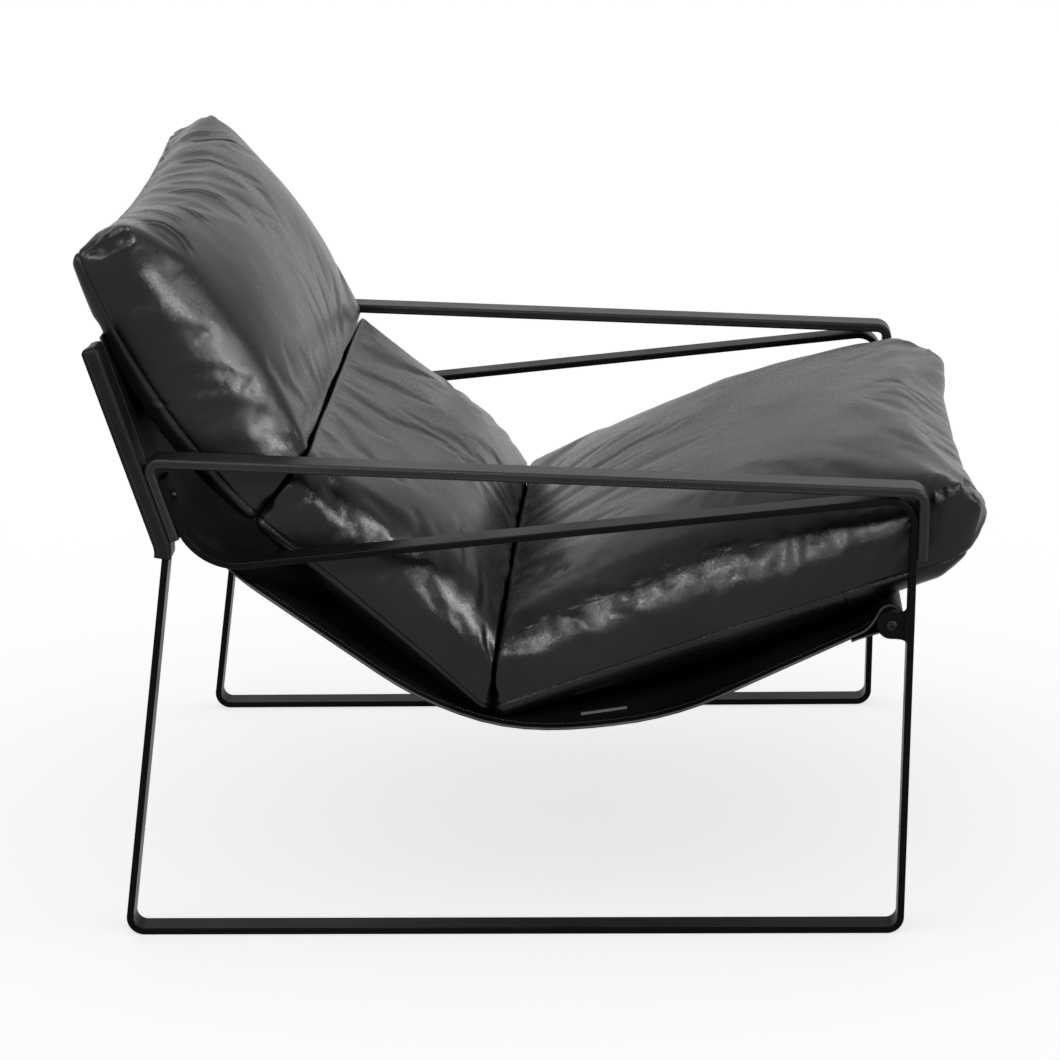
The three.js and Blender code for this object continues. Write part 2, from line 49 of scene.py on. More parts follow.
# Sizes of the frame, as in the model
HALF_FRAME = 350
BAR_WIDTH = 28
BAR_THICK = 7
SKID_LENGTH = 803
GAP = 0.3
REAR_BEND = (63, 418)
UPRIGHT_TOP = (4.5, 613)
FRONT_CORNER = (814, 467.5)
DIAGONAL_REAR_HEIGHT = 399.5
UPTURN_TOP_HEIGHT = 491.5
ARM_REAR_HEIGHT = 512
ARM_FRONT_HEIGHT = 473
RAIL_HEIGHT = 332
RAIL_SETBACK = 15.5
FRAME_RADII = (34, 18, 18, 28, 58)
ARM_RADII = (13, 16)
ARM_DROPS = (86, 72)
ARM_LEATHER = 1.3
SLING_LEATHER = 1.8
SLING_THICK = 2.4
SLEEVE_SEAM = 5.5
SLEEVE_OVERTOP = 9
SLEEVE_CAP = 4.0
SKIN_LIP = 0.5
SLING_OVERTOP = 16
SLING_RADII = (60, 341)
SLING_FALL = -0.74
SLING_RISE = 0.47
BEND_CLEAR = 18
UNDER_RAIL = 3.6
SLING_SAG = 8.3
SAG_PLACES = (84, 145, 370, 520)
LOOP_RADIUS = 11.3

# Steps of the meshes and of the cloth simulation
ARC_STEP = math.radians(4)
EDGE_ROUND = 1.1
BAR_BEVEL = 0.7
BAR_SHARP = 30
SKIN_SHARP = 50
CUSHION_CELL = 2.6
CLOTH_CELL = 8.0
CLOTH_FRAMES = 20
CLOTH_SETTINGS = dict(
    quality=4, mass=0.4, tension_stiffness=25, compression_stiffness=25, shear_stiffness=8,
    bending_stiffness=2.0, use_pressure=True, uniform_pressure_force=4.0, shrink_min=-0.05,
    vertex_group_mass="pins",
)
SIDE_HELD = -0.3
CLOTH_SMOOTHING = 60
CLOTH_CAP = 7.0
CLOTH_SHARE = 0.4


# Side-view lines
def flat(x, z):
    return Vector((float(x), float(z)))


def heading(start, end):
    return (end - start).normalized()


def left_of(way):
    return Vector((-way.y, way.x))


def cross(a, b):
    return a.x * b.y - a.y * b.x


def crossing(a, way_a, b, way_b):
    return a + way_a * (cross(b - a, way_b) / cross(way_a, way_b))


def turned(vector, angle):
    c, s = math.cos(angle), math.sin(angle)
    return Vector((c * vector.x - s * vector.y, s * vector.x + c * vector.y))


def rounded_line(corners, radii, step):
    """Places and left-hand normals along a line of corners, each inner corner turned to its radius."""
    line = []

    def straight(start, end):
        way = heading(start, end)
        count = max(1, math.ceil((end - start).length / step))
        line.extend((start.lerp(end, i / count), left_of(way)) for i in range(count + 1))

    start = corners[0]
    for i in range(1, len(corners) - 1):
        arriving = heading(corners[i - 1], corners[i])
        leaving = heading(corners[i], corners[i + 1])
        turn = math.atan2(cross(arriving, leaving), arriving.dot(leaving))
        radius = radii[i - 1]
        reach = radius * math.tan(abs(turn) / 2)
        arc_start = corners[i] - arriving * reach
        straight(start, arc_start)
        centre = arc_start + left_of(arriving) * math.copysign(radius, turn)
        steps = max(2, math.ceil(abs(turn) / ARC_STEP))
        for k in range(1, steps):
            angle = turn * k / steps
            line.append((centre + turned(arc_start - centre, angle), turned(left_of(arriving), angle)))
        start = centre + turned(arc_start - centre, turn)
    straight(start, corners[-1])
    return line


def smooth_share(value, low, high):
    """From 0 at low to 1 at high, with a smooth start and end."""
    t = np.clip((value - low) / (high - low), 0, 1)
    return t * t * (3 - 2 * t)


rear_foot = flat(0, 0)
rear_bend = flat(*REAR_BEND)
upright_top = flat(*UPRIGHT_TOP)
front_foot = flat(SKID_LENGTH, 0)
front_corner = flat(*FRONT_CORNER)
upright_way = heading(rear_bend, upright_top)
upright_forward = -left_of(upright_way)
leg_way = heading(front_foot, front_corner)
leg_forward = -left_of(leg_way)


def on_upright(distance, height):
    foot = rear_bend + upright_forward * distance
    return foot + upright_way * ((height - foot.y) / upright_way.y)


def on_leg(distance, height):
    foot = front_foot + leg_forward * distance
    return foot + leg_way * ((height - foot.y) / leg_way.y)


sleeve_front = BAR_THICK + GAP + SLING_LEATHER
arm_bar_rear = sleeve_front + GAP + ARM_LEATHER + GAP
upturn_front = arm_bar_rear + BAR_THICK + GAP + ARM_LEATHER + GAP + BAR_THICK
arm_drop_front = GAP + ARM_LEATHER + GAP + BAR_THICK
rail_centre = on_leg(-BAR_THICK - RAIL_SETBACK, RAIL_HEIGHT)
rail_low, rail_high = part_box("front_rail")
SHIFT = (rail_low.x + rail_high.x) / 2 / MM - rail_centre.x


def row(x, y, z):
    """A place of the side view, y across, in the shared frame in metres."""
    return ((x + SHIFT) * MM, y * MM, z * MM)


# Camera, fitted to the side frames in the photograph
CAMERA_PLACE = (0.16839, -3.494635, 1.420345)
CAMERA_YAW = -0.054583
CAMERA_PITCH = 0.302980
CAMERA_ROLL = -0.024583
FOCAL_PIXELS = 3333.19
PHOTO_PIXELS = 1060
SENSOR_WIDTH = 36
ahead = Vector((
    math.sin(CAMERA_YAW) * math.cos(CAMERA_PITCH),
    math.cos(CAMERA_YAW) * math.cos(CAMERA_PITCH),
    -math.sin(CAMERA_PITCH),
))
level = ahead.cross(Vector((0, 0, 1))).normalized()
upright = level.cross(ahead)
right = level * math.cos(CAMERA_ROLL) + upright * math.sin(CAMERA_ROLL)
above = upright * math.cos(CAMERA_ROLL) - level * math.sin(CAMERA_ROLL)
camera_data = bpy.data.cameras.new("camera")
camera_data.sensor_width = SENSOR_WIDTH
camera_data.lens = FOCAL_PIXELS / PHOTO_PIXELS * SENSOR_WIDTH
camera = bpy.data.objects.new("camera", camera_data)
camera_turn = Matrix((right, above, -ahead)).transposed().to_4x4()
camera.matrix_world = Matrix.Translation(CAMERA_PLACE) @ camera_turn
bpy.context.scene.collection.objects.link(camera)
bpy.context.scene.camera = camera


# Materials
def material(name, base, roughness, metallic=0.0, ior=1.45):
    made = bpy.data.materials.new(name)
    made.use_nodes = True
    shader = made.node_tree.nodes["Principled BSDF"]
    shader.inputs["Base Color"].default_value = (*base, 1)
    shader.inputs["Roughness"].default_value = roughness
    shader.inputs["Metallic"].default_value = metallic
    shader.inputs["IOR"].default_value = ior
    return made, made.node_tree, shader


def add(tree, kind, **inputs):
    node = tree.nodes.new(kind)
    for key, value in inputs.items():
        node.inputs[key].default_value = value
    return node


def mapped(tree, scale):
    """Object coordinates in metres, stretched by scale."""
    where = add(tree, "ShaderNodeTexCoord")
    mapping = add(tree, "ShaderNodeMapping", Scale=scale)
    tree.links.new(where.outputs["Object"], mapping.inputs["Vector"])
    return mapping.outputs["Vector"]


def noise_at(tree, vector, scale, detail, rough=0.55):
    node = add(tree, "ShaderNodeTexNoise", Scale=scale, Detail=detail, Roughness=rough)
    tree.links.new(vector, node.inputs["Vector"])
    return node.outputs["Fac"]


def ranged(tree, value, low, high, out_low, out_high):
    limits = {"From Min": low, "From Max": high, "To Min": out_low, "To Max": out_high}
    node = add(tree, "ShaderNodeMapRange", **limits)
    tree.links.new(value, node.inputs["Value"])
    return node.outputs["Result"]


def math_of(tree, operation, a, b):
    node = tree.nodes.new("ShaderNodeMath")
    node.operation = operation
    for socket, value in zip(node.inputs, (a, b)):
        if isinstance(value, (int, float)):
            socket.default_value = value
        else:
            tree.links.new(value, socket)
    return node.outputs["Value"]


def bumped(tree, shader, height, distance, strength, onto=None):
    bump = add(tree, "ShaderNodeBump", Strength=strength, Distance=distance)
    tree.links.new(height, bump.inputs["Height"])
    if onto is not None:
        tree.links.new(onto, bump.inputs["Normal"])
    tree.links.new(bump.outputs["Normal"], shader.inputs["Normal"])
    return bump.outputs["Normal"]


def tinted(tree, shader, value, dark, light):
    ramp = tree.nodes.new("ShaderNodeValToRGB")
    ramp.color_ramp.elements[0].color = (*dark, 1)
    ramp.color_ramp.elements[1].color = (*light, 1)
    tree.links.new(value, ramp.inputs["Fac"])
    tree.links.new(ramp.outputs["Color"], shader.inputs["Base Color"])


def leather(name, dark, light, rough_low, rough_high, ior, grain, streak, streak_depth):
    """Black leather: pebbled grain, drawn wrinkles, and gloss and colour that vary slowly."""
    made, tree, shader = material(name, dark, rough_low, ior=ior)
    even = mapped(tree, (1, 1, 1))
    drawn = mapped(tree, (0.3, 1, 0.3))
    cells = add(tree, "ShaderNodeTexVoronoi", Scale=grain, Randomness=1.0)
    cells.feature = "DISTANCE_TO_EDGE"
    tree.links.new(even, cells.inputs["Vector"])
    pebble = ranged(tree, cells.outputs["Distance"], 0.0, 0.16, 0.0, 1.0)
    fine = noise_at(tree, even, grain * 1.7, 3.0)
    coarse = noise_at(tree, even, grain * 0.3, 3.0, 0.6)
    streaks = noise_at(tree, drawn, streak, 2.0, 0.45)
    patches = noise_at(tree, even, 9.0, 3.0, 0.5)
    grained = math_of(tree, "ADD", pebble, math_of(tree, "MULTIPLY", fine, 0.7))
    small = bumped(tree, shader, grained, 0.0001, 0.5)
    middle = bumped(tree, shader, coarse, 0.0001, 0.25, onto=small)
    bumped(tree, shader, streaks, streak_depth, 0.5, onto=middle)
    halves = [math_of(tree, "MULTIPLY", value, 0.5) for value in (coarse, patches)]
    worn = math_of(tree, "ADD", *halves)
    tree.links.new(ranged(tree, worn, 0.35, 0.65, rough_low, rough_high), shader.inputs["Roughness"])
    tinted(tree, shader, ranged(tree, patches, 0.35, 0.65, 0.0, 1.0), dark, light)
    return made


def worn_by(tree, shader, value, rough_low, rough_high, dark, light):
    """Gloss and colour that follow a noise value."""
    tree.links.new(ranged(tree, value, 0.3, 0.7, rough_low, rough_high), shader.inputs["Roughness"])
    tinted(tree, shader, ranged(tree, value, 0.3, 0.7, 0.0, 1.0), dark, light)


def powder_coat():
    dark, light = (0.0012, 0.0012, 0.0014), (0.0025, 0.0025, 0.003)
    made, tree, shader = material("coated_steel", dark, 0.34, ior=1.13)
    even = mapped(tree, (1, 1, 1))
    bumped(tree, shader, noise_at(tree, even, 900.0, 2.0), 0.00005, 0.5)
    worn_by(tree, shader, noise_at(tree, even, 14.0, 3.0), 0.28, 0.4, dark, light)
    return made


def bolt_finish():
    made, tree, shader = material("bolt_steel", (0.012, 0.012, 0.014), 0.45, metallic=1.0)
    wear = noise_at(tree, mapped(tree, (1, 1, 1)), 260.0, 4.0)
    bumped(tree, shader, wear, 0.00008, 0.4)
    worn_by(tree, shader, wear, 0.38, 0.55, (0.01, 0.01, 0.012), (0.03, 0.03, 0.034))
    return made


def woven(name, base, roughness, ior, stretch, scale, depth, strength, dark, light):
    """Thread or cloth, whose bump and colour follow one fine noise."""
    made, tree, shader = material(name, base, roughness, ior=ior)
    weave = noise_at(tree, mapped(tree, stretch), scale, 2.0)
    bumped(tree, shader, weave, depth, strength)
    tinted(tree, shader, weave, dark, light)
    return made


steel = powder_coat()
bolt = bolt_finish()
thread = woven(
    "thread", (0.016, 0.016, 0.018), 0.6, 1.25, (1, 1, 1), 2600.0, 0.00012, 0.8,
    (0.014, 0.014, 0.015), (0.032, 0.032, 0.035),
)
tab_cloth = woven(
    "tab_cloth", (0.075, 0.072, 0.07), 0.8, 1.4, (1, 4, 1), 900.0, 0.0001, 0.6,
    (0.055, 0.053, 0.051), (0.09, 0.088, 0.085),
)

# Dark and light colour, low and high roughness, ior, scale of the grain, scale and depth of streaks
cushion_leather = leather(
    "cushion_leather", (0.002, 0.002, 0.0023), (0.0048, 0.0045, 0.0045),
    0.25, 0.31, 1.31, 640.0, 60.0, 0.0003,
)
sling_leather = leather(
    "sling_leather", (0.0014, 0.0014, 0.0017), (0.0032, 0.0032, 0.0036),
    0.36, 0.48, 1.13, 900.0, 30.0, 0.0008,
)
sleeve_leather = leather(
    "sleeve_leather", (0.003, 0.0028, 0.0034), (0.006, 0.0055, 0.0068),
    0.32, 0.42, 1.19, 900.0, 30.0, 0.0004,
)
sling_edge = leather(
    "sling_edge", (0.02, 0.02, 0.022), (0.05, 0.05, 0.055), 0.4, 0.5, 1.4, 900.0, 120.0, 0.0003
)
arm_leather = leather(
    "arm_leather", (0.0045, 0.0045, 0.005), (0.0085, 0.0085, 0.0095),
    0.32, 0.44, 1.27, 1100.0, 90.0, 0.0004,
)


# Mesh building
def mesh_object(name, places, faces, finish, sharp=None):
    """A smooth mesh that faces outward. Edges over the sharp angle, in degrees, stay sharp."""
    mesh = bpy.data.meshes.new(name)
    mesh.from_pydata([tuple(p) for p in places], [], [tuple(f) for f in faces])
    mesh.materials.append(finish)
    mesh.polygons.foreach_set("use_smooth", [True] * len(mesh.polygons))
    work = bmesh.new()
    work.from_mesh(mesh)
    bmesh.ops.recalc_face_normals(work, faces=work.faces)
    work.to_mesh(mesh)
    work.free()
    mesh.update()
    if sharp:
        mesh.set_sharp_from_angle(angle=math.radians(sharp))
    made = bpy.data.objects.new(name, mesh)
    bpy.context.scene.collection.objects.link(made)
    return made


def chair_piece(name, places, faces, finish, sharp=None, stands_for=None):
    """A mesh that rides the chair's one body and the node that it stands for."""
    made = mesh_object(name, places, faces, finish, sharp)
    if stands_for:
        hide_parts(stands_for)
    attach(made, "root")
    return made


def read_back(items, attribute, size=3, kind=np.float32):
    """An attribute of a mesh's points or edges, one row for each."""
    values = np.empty(len(items) * size, kind)
    items.foreach_get(attribute, values)
    return values.reshape(-1, size)


def tube_faces(first, rings, count, looped=False):
    """Quads between rings of count points, and a face on each end unless the rings make a loop."""
    faces = []
    for i in range(rings if looped else rings - 1):
        here, there = first + i * count, first + (i + 1) % rings * count
        for k in range(count):
            beside = (k + 1) % count
            faces.append((here + k, here + beside, there + beside, there + k))
    if not looped:
        last = first + (rings - 1) * count
        faces.append(tuple(reversed(range(first, first + count))))
        faces.append(tuple(range(last, last + count)))
    return faces


def shell_grid(*marks):
    """A box's faces as one closed grid: the (u, v, w) of each point, the quads, the point numbers."""
    index = {}
    faces = []
    for axis in range(3):
        a_axis, b_axis = (axis + 1) % 3, (axis + 2) % 3
        for end in (0, len(marks[axis]) - 1):
            for a in range(len(marks[a_axis]) - 1):
                for b in range(len(marks[b_axis]) - 1):
                    corners = []
                    for da, db in ((0, 0), (1, 0), (1, 1), (0, 1)):
                        spot = [0, 0, 0]
                        spot[axis], spot[a_axis], spot[b_axis] = end, a + da, b + db
                        corners.append(index.setdefault(tuple(spot), len(index)))
                    faces.append(corners if end else corners[::-1])
    places = [[values[i] for values, i in zip(marks, spot)] for spot in index]
    return np.array(places), faces, index


def spokes(side, up, count):
    angles = [2 * math.pi * k / count for k in range(count)]
    return [side * math.cos(angle) + up * math.sin(angle) for angle in angles]


def round_box(low_n, high_n, low_y, high_y, radius, steps=4, support=0.35):
    """A rounded rectangle as (n, y) pairs, with a support point beside each rounding."""
    points = []
    corners = [(high_n, high_y, 0), (low_n, high_y, 1), (low_n, low_y, 2), (high_n, low_y, 3)]
    for n, y, quarter in corners:
        centre_n = n - radius if n == high_n else n + radius
        centre_y = y - radius if y == high_y else y + radius
        base = quarter * math.pi / 2
        arc = []
        for k in range(steps + 1):
            angle = base + k * math.pi / 2 / steps
            arc.append((centre_n + radius * math.cos(angle), centre_y + radius * math.sin(angle)))
        into = (math.sin(base), -math.cos(base))
        after = (-math.cos(base), -math.sin(base))
        points.append((arc[0][0] + into[0] * support, arc[0][1] + into[1] * support))
        points.extend(arc)
        points.append((arc[-1][0] + after[0] * support, arc[-1][1] + after[1] * support))
    return points


def shrunk(section, amount):
    """The section drawn in by amount on every side."""
    values = np.array(section)
    middle = (values.max(0) + values.min(0)) / 2
    half = (values.max(0) - values.min(0)) / 2
    return [tuple(p) for p in middle + (values - middle) * (half - amount) / half]


def ring_at(place, normal, section):
    return [row(place.x + normal.x * n, y, place.y + normal.y * n) for n, y in section]


def drawn_back(line, end, amount):
    """The place and normal at an end of a line, the place drawn back along it."""
    place, normal = line[end]
    before = line[-2 if end else 1][0]
    return place - heading(before, place) * amount, normal


def swept_bar(name, line, section, stands_for):
    """A closed solid bar: the section carried along the line, with bevelled ends."""
    inner = shrunk(section, BAR_BEVEL)
    rings = [ring_at(*line[0], inner), ring_at(*drawn_back(line, 0, BAR_BEVEL), section)]
    rings += [ring_at(place, normal, section) for place, normal in line[1:-1]]
    rings += [ring_at(*drawn_back(line, -1, BAR_BEVEL), section), ring_at(*line[-1], inner)]
    faces = tube_faces(0, len(rings), len(section))
    chair_piece(name, sum(rings, []), faces, steel, BAR_SHARP, stands_for)


# How far a cap is drawn in, in millimetres, and its share of the cap's rise there
CAP_PROFILE = ((4.0, 0.97), (2.0, 0.8), (0.6, 0.4))
CAP_TIP = 0.02


def closing_rings(line, section, rise):
    """Rings that close the start of a tube with a rounded cap, from its middle out to its wall."""
    place, normal = line[0]
    way = heading(line[1][0], place)
    values = np.array(section)
    middle = (values.max(0) + values.min(0)) / 2
    tip = [tuple(p) for p in middle + (values - middle) * CAP_TIP]
    rings = [(tip, 1.0)] + [(shrunk(section, drawn), share) for drawn, share in CAP_PROFILE]
    return [ring_at(place + way * (rise * share), normal, ring) for ring, share in rings]


def wall_rings(line, section, capped):
    """Rings of one face of a tube wall. An end that isn't capped is drawn back by the lip."""
    rings = [ring_at(place, normal, section) for place, normal in line]
    if not capped:
        rings[0] = ring_at(*drawn_back(line, 0, SKIN_LIP), section)
    rings[-1] = ring_at(*drawn_back(line, -1, SKIN_LIP), section)
    return rings


def swept_skin(name, line, outer, inner, finish, stands_for, cap=0.0):
    """A closed tube wall between two sections, open at both ends or capped at its start."""
    middle = [((a[0] + b[0]) / 2, (a[1] + b[1]) / 2) for a, b in zip(outer, inner)]
    rings = closing_rings(line, outer, cap) if cap else [ring_at(*line[0], middle)]
    rings += wall_rings(line, outer, cap)
    rings.append(ring_at(*line[-1], middle))
    rings += reversed(wall_rings(line, inner, cap))
    if cap:
        rings += reversed(closing_rings(line, inner, cap - SLING_LEATHER))
    faces = tube_faces(0, len(rings), len(outer), looped=True)
    return chair_piece(name, sum(rings, []), faces, finish, SKIN_SHARP, stands_for)


# Places along a stitch: how far along, how thick, how high
STITCH_PROFILE = (
    (0.0, 0.45, -0.5), (0.14, 0.95, 0.25), (0.5, 1.0, 0.5), (0.86, 0.95, 0.25), (1.0, 0.45, -0.5),
)
STITCH_SIDES = 6
STITCH_PITCH = 3.3
STITCH_SHARE = 0.68
SEAM_TRIM = 2.0


def stitch_row(name, stitches, radius=0.42):
    """Threads of a seam. Each stitch is (start, end, outward) in metres."""
    places = []
    faces = []
    for start, end, out in stitches:
        along = (end - start).normalized()
        side = along.cross(out).normalized()
        up = side.cross(along)
        length = (end - start).length
        faces += tube_faces(len(places), len(STITCH_PROFILE), STITCH_SIDES)
        for share, size, rise in STITCH_PROFILE:
            centre = start + along * (length * share) + up * (rise * radius * MM)
            places += [centre + spoke * (radius * MM * size) for spoke in spokes(side, up, STITCH_SIDES)]
    return chair_piece(name, places, faces, thread)


def along_line(line, pitch):
    """Start and end places of stitches along a line, with the normal at each."""
    places = [p for p, _ in line]
    lengths = [0.0]
    for a, b in zip(places, places[1:]):
        lengths.append(lengths[-1] + (b - a).length)
    total = lengths[-1] - 2 * SEAM_TRIM
    count = int(total / pitch)

    def at(share):
        distance = SEAM_TRIM + share * total / count
        i = int(np.searchsorted(lengths, distance, side="right")) - 1
        i = min(max(i, 0), len(places) - 2)
        span = lengths[i + 1] - lengths[i]
        t = (distance - lengths[i]) / span if span else 0.0
        return places[i].lerp(places[i + 1], t), line[i][1].lerp(line[i + 1][1], t)

    return [(at(k), at(k + STITCH_SHARE)) for k in range(count)]


def side_stitches(line, distance, y, side):
    """Stitches on a face that looks across the chair, at a distance from the line."""
    out = Vector((0, side, 0))
    moved = [(place + normal * distance, normal) for place, normal in line]
    ends = along_line(moved, STITCH_PITCH)
    return [(Vector(row(a.x, y, a.y)), Vector(row(b.x, y, b.y)), out) for (a, _), (b, _) in ends]


# Side frames and arms
LONG_STEP = 60.0
SHORT_STEP = 12.0
ARM_SEAM_INSET = 2.7
ARM_ROUNDS = ((2.4, 0.8), (1.1, 0.3))
SLEEVE_SEAM_INSETS = (2.6, 1.2)
SLEEVE_STUB = 1.5


def build_bars(side_name, side):
    """The bent side frame, and the arm's bar with its leather and stitches."""
    outer = side * HALF_FRAME
    inner = side * (HALF_FRAME - BAR_WIDTH)
    low_y, high_y = min(outer, inner), max(outer, inner)
    frame_line = rounded_line([
        upright_top, rear_bend, rear_foot, front_foot, front_corner,
        on_upright(upturn_front, DIAGONAL_REAR_HEIGHT), on_upright(upturn_front, UPTURN_TOP_HEIGHT),
    ], FRAME_RADII, LONG_STEP)
    section = round_box(0, BAR_THICK, low_y, high_y, EDGE_ROUND)
    swept_bar(f"bent_frame_{side_name}", frame_line, section, f"side_frame_{side_name}")

    arm_corners = [
        on_upright(arm_bar_rear, ARM_REAR_HEIGHT - ARM_DROPS[0]),
        on_upright(arm_bar_rear, ARM_REAR_HEIGHT),
        on_leg(arm_drop_front, ARM_FRONT_HEIGHT),
        on_leg(arm_drop_front, ARM_FRONT_HEIGHT - ARM_DROPS[1]),
    ]
    bar_line = rounded_line(arm_corners, ARM_RADII, LONG_STEP)
    section = round_box(-BAR_THICK, 0, low_y, high_y, EDGE_ROUND)
    swept_bar(f"arm_core_{side_name}", bar_line, section, f"arm_bar_{side_name}")

    skin = GAP + ARM_LEATHER
    skin_line = rounded_line(arm_corners, ARM_RADII, SHORT_STEP)
    cover, hollow = (
        round_box(-BAR_THICK - away, away, low_y - away, high_y + away, radius, 5, support)
        for away, (radius, support) in zip((skin, GAP), ARM_ROUNDS)
    )
    swept_skin(
        f"arm_cover_{side_name}", skin_line, cover, hollow, arm_leather,
        f"arm_leather_{side_name}",
    )
    stitches = []
    for face_y, way in ((outer + side * skin, side), (inner - side * skin, -side)):
        for distance in (skin - ARM_SEAM_INSET, -BAR_THICK - skin + ARM_SEAM_INSET):
            stitches += side_stitches(skin_line, distance, face_y, way)
    stitch_row(f"arm_stitches_{side_name}", stitches)


# Sections of a sleeve: forward of the bar's rear face, and in from its outer face
skin = GAP + SLING_LEATHER
front, far = BAR_THICK + skin, BAR_WIDTH + skin
seam_edge = -skin - SLEEVE_SEAM
SLEEVE_COVER = [
    (front - 1.2, -skin), (front, 1.2 - skin), (front, 8 - skin), (front, far - 8), (front, far - 1.2),
    (front - 1.2, far), (3.5, far), (1.2 - skin, far), (-skin, far - 1.2), (-skin, far - 8),
    (-skin - 0.4, 6.8 - skin), (-skin - 2, 3.8 - skin), (seam_edge + 0.5, 3.8 - skin),
    (seam_edge, 3.2 - skin), (seam_edge, 0.6 - skin), (seam_edge + 0.6, -skin),
    (-skin - 0.6, 0.25 - skin), (3.5, -skin),
]
near, wide = BAR_THICK + GAP, BAR_WIDTH + GAP
SLEEVE_HOLLOW = [
    (near - 0.6, -GAP), (near, 0.6 - GAP), (near, 8), (near, BAR_WIDTH - 8), (near, wide - 0.6),
    (near - 0.6, wide), (3.5, wide), (0.6 - GAP, wide), (-GAP, wide - 0.6), (-GAP, BAR_WIDTH - 8),
    *((-GAP, inset) for inset in (8, 5, 3.5, 2.5, 1.5, 0.6 - GAP)), (0.6 - GAP, -GAP), (3.5, -GAP),
]


def build_sleeve(side_name, side):
    """The sewn sleeve over an upright, down to the bend, with its stitches."""
    outer = side * HALF_FRAME
    turn_way = heading(upright_top, rear_bend)
    down_way = heading(rear_bend, rear_foot)
    turn = abs(math.atan2(cross(turn_way, down_way), turn_way.dot(down_way)))
    stub = rear_bend + down_way * (FRAME_RADII[0] * math.tan(turn / 2) + SLEEVE_STUB)
    sleeve_top = upright_top + upright_way * SLEEVE_OVERTOP
    line = rounded_line([sleeve_top, rear_bend, stub], FRAME_RADII[:1], SHORT_STEP)
    cover, hollow = (
        [(n, outer - side * inset) for n, inset in section] for section in (SLEEVE_COVER, SLEEVE_HOLLOW)
    )
    sleeve = swept_skin(
        f"sleeve_{side_name}", line, cover, hollow, sleeve_leather,
        f"sling_sleeve_{side_name}", SLEEVE_CAP,
    )
    out_y = outer + side * skin
    stitches = side_stitches(line, -skin - SLEEVE_SEAM_INSETS[1], out_y - side * 0.1, side)
    stitches += side_stitches(line, front - SLEEVE_SEAM_INSETS[0], out_y, side)
    seam = stitch_row(f"sleeve_stitches_{side_name}", stitches, 0.4)


def refinish(node, finish):
    """Give a piece that keeps the model's mesh its own finish."""
    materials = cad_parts[node].data.materials
    materials.clear()
    materials.append(finish)


for side_name, side in (("right", -1), ("left", 1)):
    build_bars(side_name, side)
    build_sleeve(side_name, side)
    refinish(f"front_bracket_{side_name}", steel)
    for node in ("rail_plug", "arm_rear_bolt", "arm_front_screw", "rail_bolt"):
        refinish(f"{node}_{side_name}", bolt)
refinish("front_rail", steel)
refinish("rear_crossbar", steel)


# Sling panel
sling_half = HALF_FRAME - BAR_WIDTH - GAP - SLING_LEATHER - GAP
falling = Vector((1, SLING_FALL)).normalized()
rising = Vector((1, SLING_RISE)).normalized()
rear_line = on_upright(BAR_THICK + GAP, REAR_BEND[1])
sling_top = on_upright(BAR_THICK + GAP, UPRIGHT_TOP[1] + SLING_OVERTOP)
rear_clear = on_upright(BAR_THICK + GAP, REAR_BEND[1] + BEND_CLEAR)
rear_turn = crossing(rear_line, upright_way, rear_clear, falling)
under_rail = rail_centre - left_of(rising) * UNDER_RAIL
sling_low = crossing(rear_clear, falling, under_rail, rising)


def bezier(a, b, c, d, steps):
    made = []
    for k in range(1, steps + 1):
        t = k / steps
        made.append(a * (1 - t) ** 3 + b * (3 * t * (1 - t) ** 2) + c * (3 * t * t * (1 - t)) + d * t**3)
    return made


def sag(x):
    """How far the seat's slack lets the sling hang below straight runs."""
    rear_start, rear_end, front_start, front_end = SAG_PLACES
    return SLING_SAG * smooth_share(x, rear_start, rear_end) * smooth_share(-x, -front_end, -front_start)


# Points round the rail: onto it, over it and back under the seat
LOOP_STEPS = (10, 36, 12)
LOOP_POINTS = sum(LOOP_STEPS)

# Degrees round the rail, then millimetres
LOOP_START = 152
LOOP_STEP = 6
LOOP_PULLS = (11, 9, 12, 16)
LOOP_GAP = 0.3
RAIL_LEAVE = 34
HEM_REACH = 46

SLING_STEP = 9.0

# The hems turned under at both sides: places across in shares of the half width, then points along
SLING_EDGE = (-1, -0.9985, -0.995, -0.985, -0.97, -0.955, -0.95, -0.945)
HEM_EDGE = 0.951
HEM_BELOW_BEND = 12
HEM_EASE = 6
HEM_END = 24
HEM_DROP = 1.3
SEAM_INSET = 10
SLING_PITCH = 3.6
CHAMFER = 0.7

# The panel's uneven slack: height in millimetres, scale along and across, and seed
SLING_SLACK = 0.7
SLACK_SCALE = (0.016, 0.011)
SLACK_SEED = 3.0


